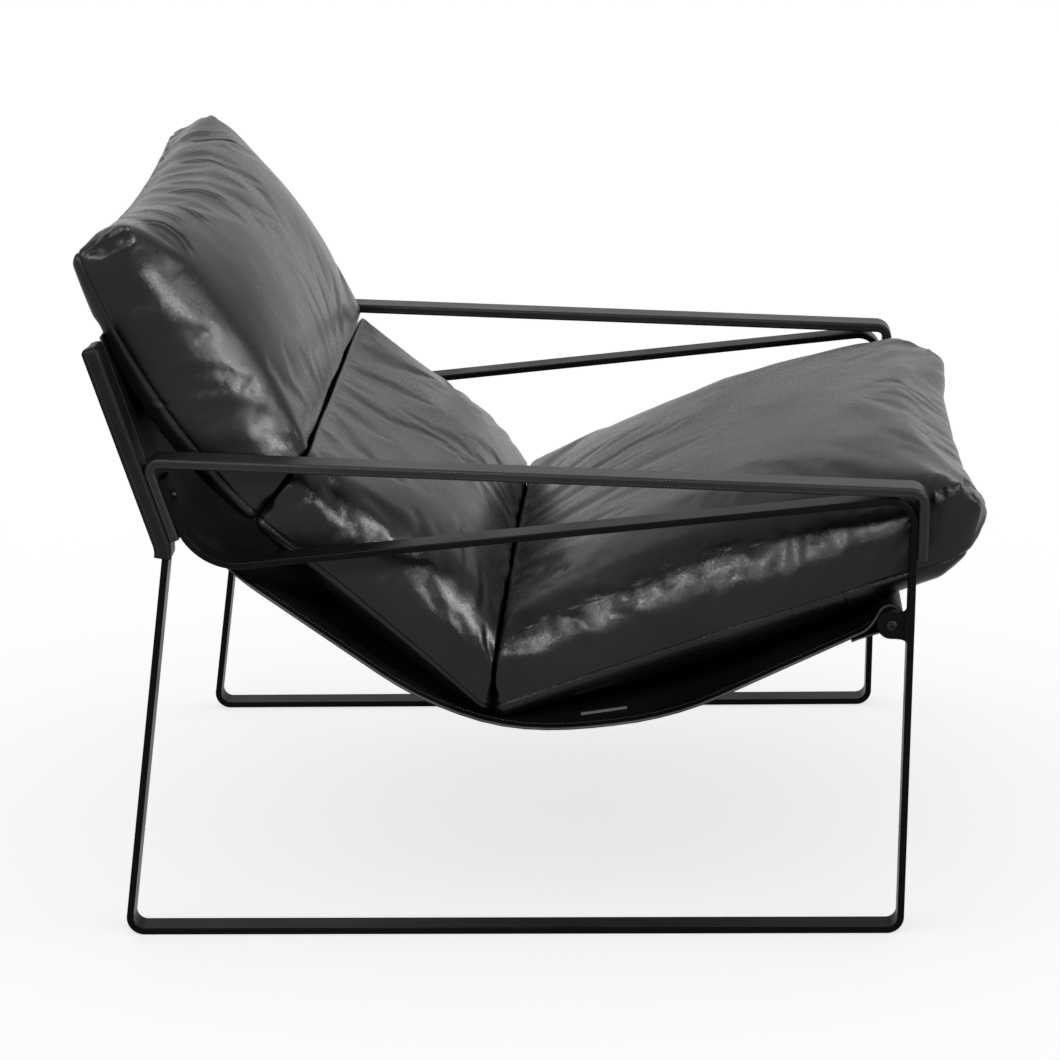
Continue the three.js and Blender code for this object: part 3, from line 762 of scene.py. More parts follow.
def sling_line():
    """The sling's under face: down the back, along the seat, over the rail, round it and back below."""
    leave = under_rail - rising * RAIL_LEAVE
    line = rounded_line([sling_top, rear_turn, sling_low, leave], SLING_RADII, SLING_STEP)
    places = [p for p, _ in line]

    def on_loop(degrees):
        return rail_centre + turned(Vector((LOOP_RADIUS, 0)), math.radians(degrees))

    def loop_way(degrees):
        angle = math.radians(degrees)
        return Vector((math.sin(angle), -math.cos(angle)))

    start = on_loop(LOOP_START)
    arriving = start - loop_way(LOOP_START) * LOOP_PULLS[1]
    places += bezier(leave, leave + rising * LOOP_PULLS[0], arriving, start, LOOP_STEPS[0])
    places += [on_loop(LOOP_START - k * LOOP_STEP) for k in range(1, LOOP_STEPS[1] + 1)]
    end = under_rail - rising * HEM_REACH - left_of(rising) * (SLING_THICK + LOOP_GAP)
    last = places[-1]
    leaving = last + loop_way(LOOP_START - LOOP_STEP * LOOP_STEPS[1]) * LOOP_PULLS[2]
    places += bezier(last, leaving, end + rising * LOOP_PULLS[3], end, LOOP_STEPS[2])
    return [place - flat(0, sag(place.x)) for place in places]


sling_places = sling_line()
sling_ways = [heading(a, b) for a, b in zip(sling_places, sling_places[1:])]
sling_normals = []
for i in range(len(sling_places)):
    before = sling_ways[max(i - 1, 0)]
    after = sling_ways[min(i, len(sling_ways) - 1)]
    sling_normals.append(left_of((before + after).normalized()))
hem_start = next(i for i, p in enumerate(sling_places) if p.y < REAR_BEND[1] - HEM_BELOW_BEND)


def sling_panel():
    """A thick sheet with its edges turned under, and a little slack between the side frames."""
    columns = [*SLING_EDGE, *np.linspace(-0.9, 0.9, 46), *(-c for c in reversed(SLING_EDGE))]
    length = len(sling_places)
    grid, faces, _ = shell_grid(range(length), columns, (0, 1))
    places = []
    for i, c, layer in grid:
        place, normal = sling_places[int(i)], sling_normals[int(i)]
        hem = min(max((i - hem_start) / HEM_EASE, 0.0), 1.0) if i < length - HEM_END else 0.0
        y, edge = c * sling_half, abs(c)
        n = (SLING_THICK - LOOP_GAP) * layer
        if layer == 0 and edge > HEM_EDGE:
            n -= HEM_DROP * hem
        if edge > 0.999:
            n += (-CHAMFER if layer else CHAMFER) * (0.3 + 0.7 * hem)
        if i <= length - LOOP_POINTS - 2:
            slack = noise.noise(Vector((place.x * SLACK_SCALE[0], y * SLACK_SCALE[1], SLACK_SEED)))
            n += SLING_SLACK * slack * (1 - edge**6)
        places.append(row(place.x + normal.x * n, y, place.y + normal.y * n))
    made = chair_piece(
        "sling", places, faces, sling_leather, sharp=60, stands_for="sling_panel",
    )
    made.data.materials.append(sling_edge)
    for face in made.data.polygons:
        if all(abs(made.data.vertices[v].co.y) > sling_half * MM - 1e-6 for v in face.vertices):
            face.material_index = 1
    return made


sling = sling_panel()


def sling_seams():
    """Stitches along the hems of both sides, on the sling's two faces."""
    line = list(zip(sling_places, sling_normals))[hem_start:6 - LOOP_POINTS]
    stitches = []
    for side in (-1, 1):
        y = side * (sling_half - SEAM_INSET)
        for level, up in ((SLING_THICK - 0.25, 1), (-HEM_DROP, -1)):
            for stitch in along_line(line, SLING_PITCH):
                start, end = (Vector(row(p.x + n.x * level, y, p.y + n.y * level)) for p, n in stitch)
                normal = stitch[0][1]
                stitches.append((start, end, Vector((normal.x * up, 0, normal.y * up))))
    return stitch_row("sling_stitches", stitches, 0.4)


sling_stitches = sling_seams()


# Cushions

# Fullness of the front and the rear and what the sides keep of it, the swollen and drawn-in end, the
# rounding of the edges, ends and corners, the sides, and the seam's height above the flat panel
PLAIN_FORM = dict(
    front_rim=0.0, rear_rim=0.0, lean=0.0, swell=0, sink=0.0, draw=0, sharpness=(0.0, 0.0),
    end=1, edge=46, belly=10,
)
HEAD_FORM = dict(
    PLAIN_FORM, front=42, rear=44, rear_rim=0.6, swell=6, draw=15, draw_in=12, end=-1,
    low_edges=(7, 11), joints=(99, 3), sharpness=(0.7, 0.5), seam=12,
)
BACK_FORM = dict(
    PLAIN_FORM, front=28, rear=44, front_rim=0.12, lean=1.1, draw_in=11,
    low_edges=(11, 18), joints=(2.5, 2), seam=14,
)
SEAT_FORM = dict(
    PLAIN_FORM, front=50, rear=52, front_rim=0.1, swell=34, sink=0.4, draw=14, draw_in=12,
    low_edges=(18, 16), joints=(2, 99), sharpness=(0.75, 0.15), seam=20,
)
half_gap = 0.3
head_top_rear = upright_top + flat(-22, 94)
head_top_front = upright_top + flat(38, 132)
lumbar_rear = rear_turn + flat(82, -4)
lumbar_front = rear_turn + flat(140, 66)
crease_low = sling_low + flat(-53, 55)
crease_top = sling_low + flat(-40, 158)
seat_low = rail_centre + flat(62, 41)
seat_top = rail_centre + flat(72, 144)


def toward(start, end, distance):
    return start + heading(start, end) * distance


# Corners of each cushion in the side view: rear from its start to its end, front from end to start
CUSHIONS = {
    "head": ([
        head_top_rear, toward(lumbar_rear, head_top_rear, half_gap),
        toward(lumbar_front, head_top_front, half_gap), head_top_front,
    ], HEAD_FORM),
    "back": ([
        toward(lumbar_rear, crease_low, half_gap), toward(crease_low, lumbar_rear, half_gap),
        toward(crease_top, lumbar_front, half_gap), toward(lumbar_front, crease_top, half_gap),
    ], BACK_FORM),
    "seat": ([
        toward(crease_low, seat_low, half_gap), seat_low,
        seat_top, toward(crease_top, seat_top, half_gap),
    ], SEAT_FORM),
}
cushion_half = sling_half - 2
SIDE_LIMIT = 319.6
SIDE_EASE = 3.0
SEAM_BEAD = 0.55
BEAD_SIDES = 8

# A cushion's gap to the sling, and how far above the sling's top edge it still gives way
CLEARANCE = 0.35
OVERHANG = 22.0

# Grid places in millimetres from an edge, and round the seam in shares of its height
EDGE_MARKS = (0, 1.2, 2.6, 4.4, 7, 10.5, 15)
SEAM_MARKS = (0, 0.1, 0.25, 0.45, 0.65, 0.8, 0.89, 0.95, 1, 1.05, 1.11, 1.2, 1.35)


def graded(length, cell, start=EDGE_MARKS, end=EDGE_MARKS):
    """Grid places from -1 to 1, closer together where the marks at both ends are."""
    rest = length - start[-1] - end[-1]
    count = max(2, round(rest / cell))
    inner = [start[-1] + rest * k / count for k in range(1, count)]
    marks = [*start, *inner, *(length - d for d in reversed(end))]
    return np.array(marks) / length * 2 - 1


def unit(vector):
    return vector / np.linalg.norm(vector)


def rounded_box(raw, half_sizes, form):
    """Unit places on a box whose edges are rounded in millimetres, most along the front face."""
    half = np.array(half_sizes)
    u, v, w = raw.T
    low_start, low_end = form["low_edges"]
    low = low_start + (low_end - low_start) * smooth_share(u, -1, 1)
    edge = min(form["edge"], half_sizes[2] - 1)
    radius = low + (edge - low) * smooth_share(w, -0.7, 0.1)
    sharp = np.where(v < 0, *form["sharpness"]) * np.maximum(u * form["end"], 0) ** 4
    sharp = sharp * smooth_share(w, -0.6, 0.4)
    radius = radius * (1 - sharp * v**4)
    joint = np.minimum(np.where(u < 0, *form["joints"]), radius)
    along = radius + (joint - radius) * smooth_share(w, -0.85, -0.1)
    radii = np.column_stack([along, radius, radius])
    place = raw * half
    core = np.clip(place, radii - half, half - radii)
    away = (place - core) / radii
    size = np.maximum(np.linalg.norm(away, axis=1), 1e-9)
    return (core + away / size[:, None] * radii) / half


def cushion_places(raw, corners, form, half_sizes):
    """The model's cushion formula, with rounder edges, a swollen end and drawn-in sides."""
    u, v, w = rounded_box(raw, half_sizes, form).T
    low_start, low_end, high_end, high_start = [np.array(c) for c in corners]
    upward = unit(high_start + high_end - low_start - low_end)
    onward = unit(low_end + high_end - low_start - high_start)
    t = ((u + 1) / 2)[:, None]
    low = low_start * (1 - t) + low_end * t
    high = high_start * (1 - t) + high_end * t
    s = ((w + 1) / 2)[:, None]
    place = low * (1 - s) + high * s
    rim = np.where(w > 0, form["front_rim"], form["rear_rim"])
    crown = np.where(w > 0, form["front"], form["rear"]) * w * (1 - u**2) * (1 - (1 - rim) * v**4)
    crown = crown * (1 + np.where(w > 0, form["lean"], 0) * u)
    place = place + upward * crown[:, None]
    share = np.maximum(u * form["end"], 0)
    swell = form["swell"] * share**6 * (1 - w**2) ** 2 * (1 - form["sink"] * w)
    draw = form["draw"] * share**4 * (1 - v**2)
    place = place + onward * ((swell - draw) * form["end"])[:, None]
    drawn = form["draw_in"] * (1 - u**2) * np.abs(v) ** 3
    belly = form["belly"] * (1 - u**4) * (1 - w**2) * np.abs(v) ** 5
    across = v * (cushion_half - drawn + belly)
    return np.column_stack([place[:, 0], across, place[:, 1]])


# The sling's upper face from its top to the rail
upper_faces = list(zip(sling_places, sling_normals))[:-LOOP_POINTS]
upper_line = np.array([place + normal * SLING_THICK for place, normal in upper_faces])
upper_normals = np.array([normal for _, normal in upper_faces])


def nearest_on(line, places):
    """The number of the line's point nearest to each place."""
    blocks = np.array_split(places, len(places) // 4000 + 1)
    return np.concatenate([((block[:, None] - line) ** 2).sum(2).argmin(1) for block in blocks])


def held_up(places, clearance):
    """Points under the sling's upper face are lifted onto it, less and less above its top edge."""
    flat_places = places[:, [0, 2]]
    nearest = nearest_on(upper_line, flat_places)
    foot = upper_line[nearest]
    normal = upper_normals[nearest]
    height = ((flat_places - foot) * normal).sum(1)
    beyond = np.where(nearest == 0, ((flat_places - foot) * np.array(upright_way)).sum(1), 0)
    lift = np.maximum(clearance - height, 0) * (1 - smooth_share(beyond, 0, OVERHANG))
    lifted = flat_places + normal * lift[:, None]
    return np.column_stack([lifted[:, 0], places[:, 1], lifted[:, 1]])


def within(values, limit, ease):
    """Values brought smoothly under a limit, from ease below it."""
    size = np.abs(values)
    eased = ease * (1 - np.exp(-np.maximum(size - (limit - ease), 0) / ease))
    return np.sign(values) * (np.minimum(size, limit - ease) + eased)


def photo_ray(px, py):
    way = ahead + right * ((px - PHOTO_PIXELS / 2) / FOCAL_PIXELS)
    return (way - above * ((py - PHOTO_PIXELS / 2) / FOCAL_PIXELS)).normalized()


def from_row(place):
    return np.array([place[0] / MM - SHIFT, place[1] / MM, place[2] / MM])


def on_surface(tree, pixels):
    """Where lines of sight through the photograph's pixels meet a cushion."""
    found = []
    for px, py in pixels:
        hit = tree.ray_cast(Vector(CAMERA_PLACE), photo_ray(px, py))[0]
        if hit is not None:
            found.append(from_row(hit))
    return found


CREASE_STEP = 3.0


def finer(points):
    made = [points[0]]
    for a, b in zip(points, points[1:]):
        count = max(1, int(np.linalg.norm(b - a) / CREASE_STEP))
        made.extend(a + (b - a) * (k / count) for k in range(1, count + 1))
    return np.array(made)


# How far a crease is felt, where its lip stands and how wide that is, in widths of the crease
CREASE_REACH = 5
LIP_AWAY = 2.1
LIP_WIDTH = 1.4


def fold_height(places, normals, points, width, depth, lip):
    """Height of a crease along a line on the surface. A lip above 0 swells on the line's right side."""
    points = finer(points)
    reach = width * CREASE_REACH
    near = np.where(((places > points.min(0) - reach) & (places < points.max(0) + reach)).all(1))[0]
    height = np.zeros(len(places))
    if not len(near):
        return height
    block = places[near]
    spot = np.clip(nearest_on(points, block), 1, len(points) - 2)
    tangent = points[spot + 1] - points[spot - 1]
    tangent = tangent / np.maximum(np.linalg.norm(tangent, axis=1), 1e-9)[:, None]
    away = block - points[spot]
    side_way = np.cross(tangent, normals[near])
    side = (away * side_way).sum(1)
    along = (away * tangent).sum(1)
    distance = np.sqrt(np.maximum((away**2).sum(1) - along**2, 0))
    run = spot / (len(points) - 1)
    taper = smooth_share(np.minimum(run, 1 - run), 0, 0.25) + 0.04
    over = np.clip(1 - np.maximum(np.abs(along) - CREASE_STEP, 0) / width, 0, 1)
    valley = -depth * np.exp(-((distance / width) ** 2))
    beside = (side * math.copysign(1, lip) - LIP_AWAY * width) / (LIP_WIDTH * width)
    swell = abs(lip) * np.exp(-beside**2) * (distance < reach)
    height[near] = (valley + swell) * taper * over
    return height


def slow_noise(places, scale, seed):
    """Smooth noise at each place, the same each run."""
    return np.array([noise.noise(Vector(p) + Vector((seed, 2.7 * seed, 0))) for p in places * scale])


def cushion_mesh(name, cell, plain=False):
    """A cushion's grid: the unit places, quads, places in millimetres, half sizes and point numbers."""
    corners, form = CUSHIONS[name]
    length = ((corners[1] - corners[0]).length + (corners[2] - corners[3]).length) / 2
    thick = ((corners[3] - corners[0]).length + (corners[2] - corners[1]).length) / 2
    if plain:
        marks = [graded(size, cell, (0,), (0,)) for size in (length, 2 * cushion_half, thick)]
    else:
        seam_marks = [form["seam"] * share for share in SEAM_MARKS]
        marks = [graded(length, cell), graded(2 * cushion_half, cell), graded(thick, cell, seam_marks)]
    raw, faces, index = shell_grid(*marks)
    half_sizes = (length / 2, cushion_half, thick / 2)
    places = cushion_places(raw, corners, form, half_sizes)
    return raw, faces, places, half_sizes, index


# Creases read off the photograph: pixels along each, then width, depth and lip in millimetres
HEAD_CREASES = [
    ([(80, 259), (92, 251), (108, 243), (122, 236), (135, 231)], 1.6, 2.6, -1.6),
    ([(84, 263), (98, 256), (114, 249), (128, 242), (137, 234)], 1.5, 1.8, 1.2),
    ([(111, 224), (137, 220), (162, 224), (181, 237), (194, 259)], 3.2, 2.6, 1.8),
    ([(128, 215), (149, 211), (172, 216), (188, 228)], 2.6, 1.6, 1.2),
    ([(136, 207), (156, 203), (178, 205), (197, 215), (213, 228)], 2.8, 2.0, 1.4),
    ([(155, 196), (172, 191), (197, 189), (219, 196), (232, 208)], 2.6, 1.9, 1.3),
    ([(165, 184), (187, 181), (210, 184)], 2.4, 1.3, 0.9),
    ([(172, 164), (188, 159), (207, 159), (223, 164), (238, 173)], 2.8, 1.8, 1.2),
    ([(175, 145), (188, 135), (203, 132), (216, 134)], 2.4, 1.4, 1.0),
    ([(209, 327), (203, 337), (192, 344)], 6.8, 0.7, 0.4),
    ([(255, 377), (249, 388), (240, 397)], 6.8, 0.8, 0.4),
    ([(254, 391), (249, 403), (240, 416), (232, 428)], 8.1, 0.9, 0.8),
    ([(268, 402), (262, 420), (258, 436)], 8.1, 0.7, 0.6),
    ([(217, 395), (222, 410), (225, 425)], 8.1, 0.5, 0.4),
    ([(297, 449), (305, 440), (314, 431), (320, 430)], 1.8, 2.6, 1.6),
    ([(303, 455), (312, 447), (321, 438)], 1.5, 2.0, -1.2),
    ([(278, 474), (272, 488), (277, 498), (290, 492), (306, 478)], 2.0, 2.4, 1.6),
    ([(146, 398), (154, 401), (162, 404), (172, 407)], 1.4, 1.6, 0.9),
]
BACK_CREASES = [
    ([(279, 524), (291, 508), (305, 498), (318, 494)], 6.1, 1.5, 1.1),
    ([(322, 478), (334, 494), (346, 512), (352, 530)], 8.1, 1.6, 1.3),
    ([(352, 488), (372, 500), (392, 519), (402, 541)], 8.1, 1.5, 1.2),
    ([(412, 505), (419, 522), (424, 545), (425, 565)], 6.8, 1.4, 1.0),
    ([(436, 520), (440, 545), (440, 575)], 6.1, 1.1, 0.8),
    ([(462, 515), (466, 545), (466, 580), (460, 605)], 6.8, 1.2, 0.9),
    ([(395, 570), (398, 590), (408, 612)], 6.8, 1.1, 0.8),
    ([(425, 578), (433, 600), (446, 622)], 6.8, 1.4, 1.0),
    ([(455, 610), (462, 632), (474, 652)], 6.8, 1.4, 1.0),
    ([(482, 560), (484, 590), (480, 620)], 5.4, 1.0, 0.7),
    ([(486, 625), (488, 645), (494, 665)], 3.5, 1.8, 1.2),
    ([(340, 545), (352, 560), (368, 574)], 6.8, 1.0, 0.8),
]
SEAT_CREASES = [
    ([(962, 478), (970, 492), (978, 508), (985, 526)], 1.6, 2.8, -1.8),
    ([(969, 486), (976, 500), (981, 516)], 1.4, 1.8, 1.2),
    ([(938, 477), (941, 486), (943, 496)], 3.2, 1.8, 1.4),
    ([(949, 474), (954, 484), (957, 494)], 3.0, 1.8, 1.4),
    ([(925, 484), (928, 492), (929, 502)], 3.2, 1.4, 1.2),
    ([(726, 540), (733, 552), (737, 566), (736, 584)], 9.2, 1.2, 0.9),
    ([(752, 538), (757, 552), (757, 568), (753, 584)], 8.8, 1.1, 0.8),
    ([(792, 536), (786, 552), (778, 566), (768, 582)], 8.8, 1.2, 0.9),
    ([(812, 532), (806, 546), (800, 560)], 7.8, 0.9, 0.6),
    ([(700, 548), (704, 562), (706, 580)], 8.8, 0.9, 0.7),
    ([(662, 562), (668, 576), (671, 592)], 8.8, 1.1, 0.8),
    ([(643, 574), (646, 588), (648, 604)], 8.2, 0.7, 0.6),
    ([(634, 578), (638, 594), (640, 614)], 8.8, 1.1, 0.8),
    ([(610, 592), (613, 606), (615, 622)], 7.8, 0.9, 0.6),
    ([(598, 594), (598, 612), (592, 632)], 8.8, 0.9, 0.7),
    ([(570, 604), (573, 618), (575, 636)], 8.2, 0.9, 0.7),
    ([(545, 612), (549, 628), (550, 646)], 8.2, 0.9, 0.7),
    ([(528, 622), (532, 638), (533, 656)], 8.2, 0.9, 0.6),
    ([(512, 640), (517, 652), (520, 668)], 8.2, 0.9, 0.7),
    ([(840, 530), (838, 545), (833, 560)], 9.2, 0.6, 0.5),
    ([(866, 528), (866, 544), (863, 560)], 9.2, 0.6, 0.4),
    ([(845, 592), (846, 598), (847, 605), (848, 613)], 1.4, 1.6, 0.9),
]
CREASES = {"head": HEAD_CREASES, "back": BACK_CREASES, "seat": SEAT_CREASES}

# Cell of the mesh on which the pixels are traced, and the y below which a crease is mirrored
CREASE_CELL = 9.0
NEAR_SIDE = -200
NOISE_SEEDS = {"head": 1.0, "back": 5.0, "seat": 9.0}

# Slow waves of the filling: height in millimetres, scale and shift of the seed
WAVES = ((2.0, 1 / 85, 0), (0.35, 1 / 30, 3))
FREE_REACH = 25

# Depth and width of the seam's groove, then height, distance and width of the fuller leather
GROOVE = (1.3, 1.2)
FULLER = (0.4, 4.5, 2.6)


def folds_on(name, places, normals):
    """All creases of a cushion: those of the photograph, and their like on the far side."""
    _, coarse_faces, coarse, _, _ = cushion_mesh(name, CREASE_CELL)
    tree = BVHTree.FromPolygons([Vector(row(*p)) for p in coarse], coarse_faces)
    height = np.zeros(len(places))
    mirror = np.array([1.0, -1.0, 1.0])
    for pixels, width, depth, lip in CREASES[name]:
        points = on_surface(tree, pixels)
        if len(points) < 2:
            continue
        height += fold_height(places, normals, points, width, depth, lip)
        if len(pixels) == len(points) and np.mean([p[1] for p in points]) < NEAR_SIDE:
            height += fold_height(places, normals, [p * mirror for p in points], width, depth, -lip)
    return height


def seam_height(raw, half_sizes, level):
    """The seam round the four sides, above the flat panel: a narrow groove in fuller leather."""
    u_gap = (1 - np.abs(raw[:, 0])) * half_sizes[0]
    v_gap = (1 - np.abs(raw[:, 1])) * half_sizes[1]
    w_gap = (raw[:, 2] + 1) * half_sizes[2]
    on_panel = w_gap < 1e-6
    gap = np.where(on_panel, np.minimum(u_gap, v_gap), w_gap)
    away = np.where(on_panel, -gap, gap) - level
    rise, reach, width = FULLER
    fuller = sum(np.exp(-(((away + way * reach) / width) ** 2)) for way in (-1, 1))
    return rise * fuller - GROOVE[0] * np.exp(-((away / GROOVE[1]) ** 2))


def smoothed(values, links, rounds):
    """Values of a mesh averaged with their neighbours, several times over."""
    first, second = links.T
    share = np.bincount(first, minlength=len(values)) + np.bincount(second, minlength=len(values))
    for _ in range(rounds):
        total = np.zeros_like(values)
        np.add.at(total, first, values[second])
        np.add.at(total, second, values[first])
        values = 0.5 * values + 0.5 * total / share[:, None]
    return values


def sewn_cover(name):
    """Wrinkles of a cushion: a cover a little too large for its fill, blown up by a cloth simulation."""
    raw, faces, places, _, index = cushion_mesh(name, CLOTH_CELL, plain=True)
    made = mesh_object(f"{name}_cloth", [row(*p) for p in places], faces, cushion_leather)
    pins = made.vertex_groups.new(name="pins")
    form = CUSHIONS[name][1]
    on_panel = raw[:, 2] < -0.999
    at_joint = raw[:, 0] * form["end"] < -0.999
    low_side = (np.abs(raw[:, 1]) > 0.999) & (raw[:, 2] < SIDE_HELD)
    held = on_panel | at_joint | low_side
    pins.add([int(i) for i in np.where(held)[0]], 1.0, "REPLACE")
    cloth = made.modifiers.new("cover", "CLOTH")
    for key, value in CLOTH_SETTINGS.items():
        setattr(cloth.settings, key, value)
    cloth.settings.effector_weights.gravity = 0
    cloth.collision_settings.use_collision = False
    cloth.collision_settings.use_self_collision = False
    cloth.point_cache.frame_start = 1
    cloth.point_cache.frame_end = CLOTH_FRAMES
    scene = bpy.context.scene
    for number in range(1, CLOTH_FRAMES + 1):
        scene.frame_set(number)
    seen = made.evaluated_get(bpy.context.evaluated_depsgraph_get())
    after = read_back(seen.data.vertices, "co").astype(float) / MM
    before = np.array([row(*p) for p in places]) / MM
    moved = after - before
    links = read_back(made.data.edges, "vertices", 2, np.int32)
    wrinkles = moved - smoothed(moved, links, CLOTH_SMOOTHING)
    height = (wrinkles * read_back(made.data.vertex_normals, "vector")).sum(1)
    height = CLOTH_CAP * np.tanh(height / CLOTH_CAP)
    scene.frame_set(1)
    mesh = made.data
    bpy.data.objects.remove(made)
    bpy.data.meshes.remove(mesh)
    return height, index


def cubic_weights(t):
    """Weights of the four nearest marks for a smooth curve through them."""
    return np.array([
        ((-0.5 * t + 1) * t - 0.5) * t, (1.5 * t - 2.5) * t * t + 1,
        ((-1.5 * t + 2) * t + 0.5) * t, (0.5 * t - 0.5) * t * t,
    ])


def spread_over(height, index, raw):
    """Heights of an even shell grid, read at the places of a finer one."""
    sizes = np.array(list(index)).max(0) + 1
    grid = np.zeros(sizes)
    for spot, number in index.items():
        grid[spot] = height[number]
    found = np.zeros(len(raw))
    for axis in range(3):
        others = ((axis + 1) % 3, (axis + 2) % 3)
        for end in (-1, 1):
            here = np.where(np.abs(raw[:, axis] - end) < 1e-9)[0]
            plate = grid.transpose(axis, *others)[0 if end < 0 else -1]
            spans = []
            for along in others:
                mark = (raw[here, along] + 1) / 2 * (sizes[along] - 1)
                base = np.clip(mark.astype(int), 0, sizes[along] - 2)
                steps = np.clip(base + np.array([-1, 0, 1, 2])[:, None], 0, sizes[along] - 1)
                spans.append((steps, cubic_weights(mark - base)))
            (rows, row_weights), (columns, column_weights) = spans
            nearby = plate[rows[:, None], columns[None]]
            found[here] = np.einsum("ip,jp,ijp->p", row_weights, column_weights, nearby)
    return found


def seam_bead(name, points, outs):
    """A thin raised roll round a closed line in millimetres, with a way out at each point."""
    ways = np.roll(points, -1, 0) - np.roll(points, 1, 0)
    places = []
    for point, way, out in zip(points, ways, outs):
        along = Vector(way).normalized()
        side = along.cross(Vector(out)).normalized()
        up = side.cross(along)
        places += [row(*(Vector(point) + spoke * SEAM_BEAD)) for spoke in spokes(side, up, BEAD_SIDES)]
    faces = tube_faces(0, len(points), BEAD_SIDES, looped=True)
    chair_piece(name, places, faces, cushion_leather)


def rim_of(index):
    """Point numbers of the seam round the four sides, in order."""
    last_u, last_v, _ = np.array(list(index)).max(0)
    k = SEAM_MARKS.index(1)
    loop = [(i, 0, k) for i in range(last_u)] + [(last_u, j, k) for j in range(last_v)]
    loop += [(i, last_v, k) for i in range(last_u, 0, -1)] + [(0, j, k) for j in range(last_v, 0, -1)]
    return [index[key] for key in loop]


def build_cushion(name):
    corners, form = CUSHIONS[name]
    raw, faces, places, half_sizes, index = cushion_mesh(name, CUSHION_CELL)
    made = chair_piece(
        f"{name}_pad", [row(*p) for p in places], faces, cushion_leather,
        stands_for=f"{name}_cushion",
    )
    normals = read_back(made.data.vertex_normals, "vector").astype(float)
    free = np.clip((raw[:, 2] + 1) * half_sizes[2] / FREE_REACH, 0, 1)
    height = folds_on(name, places, normals)
    for rise, scale, shift in WAVES:
        height += rise * free * slow_noise(places, scale, NOISE_SEEDS[name] + shift)
    cover_height, cover_index = sewn_cover(name)
    height += CLOTH_SHARE * spread_over(cover_height, cover_index, raw)
    height += seam_height(raw, half_sizes, form["seam"])
    places = places + normals * height[:, None]
    places = held_up(places, CLEARANCE)
    places[:, 1] = within(places[:, 1], SIDE_LIMIT, SIDE_EASE)
    made.data.vertices.foreach_set("co", np.array([row(*p) for p in places], np.float32).ravel())
    made.data.update()
    rim = rim_of(index)
    seam = places[rim] + normals[rim] * 0.1
    seam = held_up(seam, CLEARANCE + SEAM_BEAD)
    seam_bead(f"{name}_seam", seam, normals[rim])


# A bare cloth tab that lies on the sling under the seat cushion, at its pixels in the photograph
TAB_PIXELS = ((581, 714), (627, 707.5))
TAB_HALF = 3.4
TAB_THICK = 0.6
TAB_SUNK = 0.25


def cloth_tab(carrier):
    """A thin strip that lies on the carrier's surface and follows it."""
    tree = BVHTree.FromPolygons(
        [v.co.copy() for v in carrier.data.vertices], [tuple(f.vertices) for f in carrier.data.polygons]
    )
    spots = []
    for share in np.linspace(0, 1, 13):
        pixel = [a + (b - a) * share for a, b in zip(*TAB_PIXELS)]
        hit, normal, _, _ = tree.ray_cast(Vector(CAMERA_PLACE), photo_ray(*pixel))
        if hit is not None:
            spots.append((hit, normal))
    along = (spots[-1][0] - spots[0][0]).normalized()
    outline = [(-1, 0), (-1, 0.8), (-0.85, 1), (0, 1), (0.85, 1), (1, 0.8), (1, 0), (0, 0)]
    places = []
    for hit, normal in spots:
        across = along.cross(normal).normalized()
        for side, top in outline:
            spot = hit + across * (side * TAB_HALF * MM)
            foot, out, _, _ = tree.find_nearest(spot)
            places.append(foot + out * ((TAB_THICK * top - TAB_SUNK * (1 - top)) * MM))
    faces = tube_faces(0, len(spots), len(outline))
    chair_piece("cloth_tab", places, faces, tab_cloth, sharp=40)


for name in CUSHIONS:
    build_cushion(name)
cloth_tab(sling)

# Floor, light and background
FLOOR_REACH = 30.0
floor_mesh = bpy.data.meshes.new("floor")
floor_mesh.from_pydata(
    [(-FLOOR_REACH, -FLOOR_REACH, 0), (FLOOR_REACH, -FLOOR_REACH, 0),
     (FLOOR_REACH, FLOOR_REACH, 0), (-FLOOR_REACH, FLOOR_REACH, 0)], [], [(0, 1, 2, 3)],
)
floor = bpy.data.objects.new("floor", floor_mesh)
bpy.context.scene.collection.objects.link(floor)


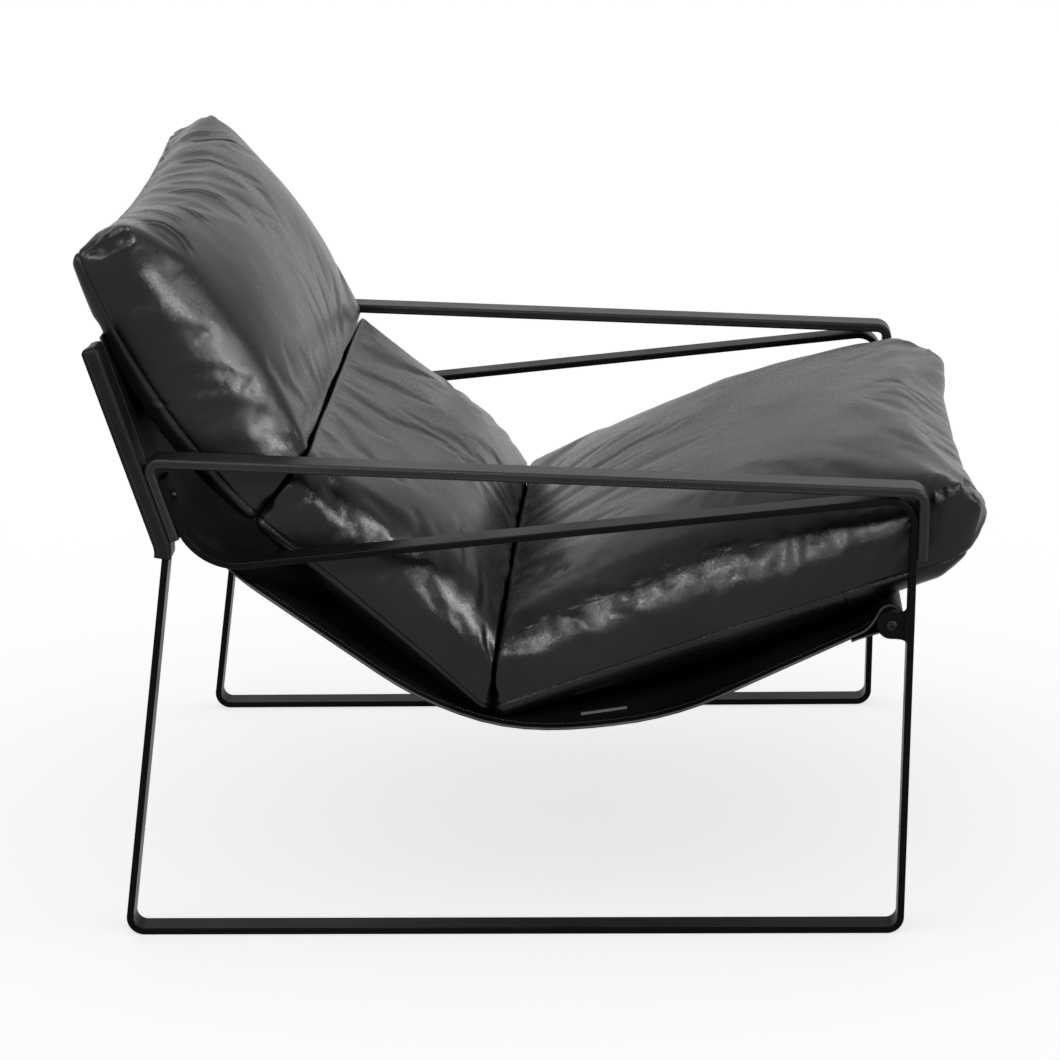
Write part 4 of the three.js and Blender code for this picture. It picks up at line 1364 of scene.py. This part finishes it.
def background_seen(tree):
    """1 for the rays that show the background: camera, glossy and transmission rays."""
    paths = tree.nodes.new("ShaderNodeLightPath")
    seen = math_of(tree, "MAXIMUM", paths.outputs["Is Camera Ray"], paths.outputs["Is Glossy Ray"])
    return math_of(tree, "MAXIMUM", seen, paths.outputs["Is Transmission Ray"])


ROOM_LIGHT = 0.4
FLOOR_GLOW = 0.66
floor_finish, floor_tree, floor_shader = material("floor_paint", (0.88, 0.88, 0.88), 0.9)
floor_shader.inputs["Specular IOR Level"].default_value = 0.0
floor_shader.inputs["Emission Color"].default_value = (1, 1, 1, 1)
glow = ranged(floor_tree, background_seen(floor_tree), 0.0, 1.0, 0.0, FLOOR_GLOW)
floor_tree.links.new(glow, floor_shader.inputs["Emission Strength"])
floor_mesh.materials.append(floor_finish)

world = bpy.data.worlds.new("studio")
world.use_nodes = True
bpy.context.scene.world = world
world_tree = world.node_tree
background = world_tree.nodes["Background"]
background.inputs["Color"].default_value = (1, 1, 1, 1)
brightness = ranged(world_tree, background_seen(world_tree), 0.0, 1.0, ROOM_LIGHT, 1.0)
world_tree.links.new(brightness, background.inputs["Strength"])


# The softboxes light the chair and spare the floor, which the room light alone shades
LAMP_SPREAD = 34
spared = bpy.data.collections.new("spared_by_softboxes")
spared.objects.link(floor)
spared.collection_objects[0].light_linking.link_state = "EXCLUDE"


def softbox(name, place, target, size, power):
    lamp = bpy.data.lights.new(name, "AREA")
    lamp.spread = math.radians(LAMP_SPREAD)
    lamp.shape = "RECTANGLE"
    lamp.size, lamp.size_y = size
    lamp.energy = power
    made = bpy.data.objects.new(name, lamp)
    made.location = place
    made.rotation_euler = (Vector(target) - Vector(place)).to_track_quat("-Z", "Y").to_euler()
    made.visible_camera = False
    made.light_linking.receiver_collection = spared
    bpy.context.scene.collection.objects.link(made)


softbox("camera_side", (-0.82, -2.5, 2.05), (0, 0, 0.38), size=(0.6, 0.32), power=2.9)
softbox("front_key", (1.8, -1.6, 1.7), (-0.15, -0.25, 0.45), size=(0.8, 0.5), power=4.4)

bpy.context.scene.view_settings.view_transform = "Standard"
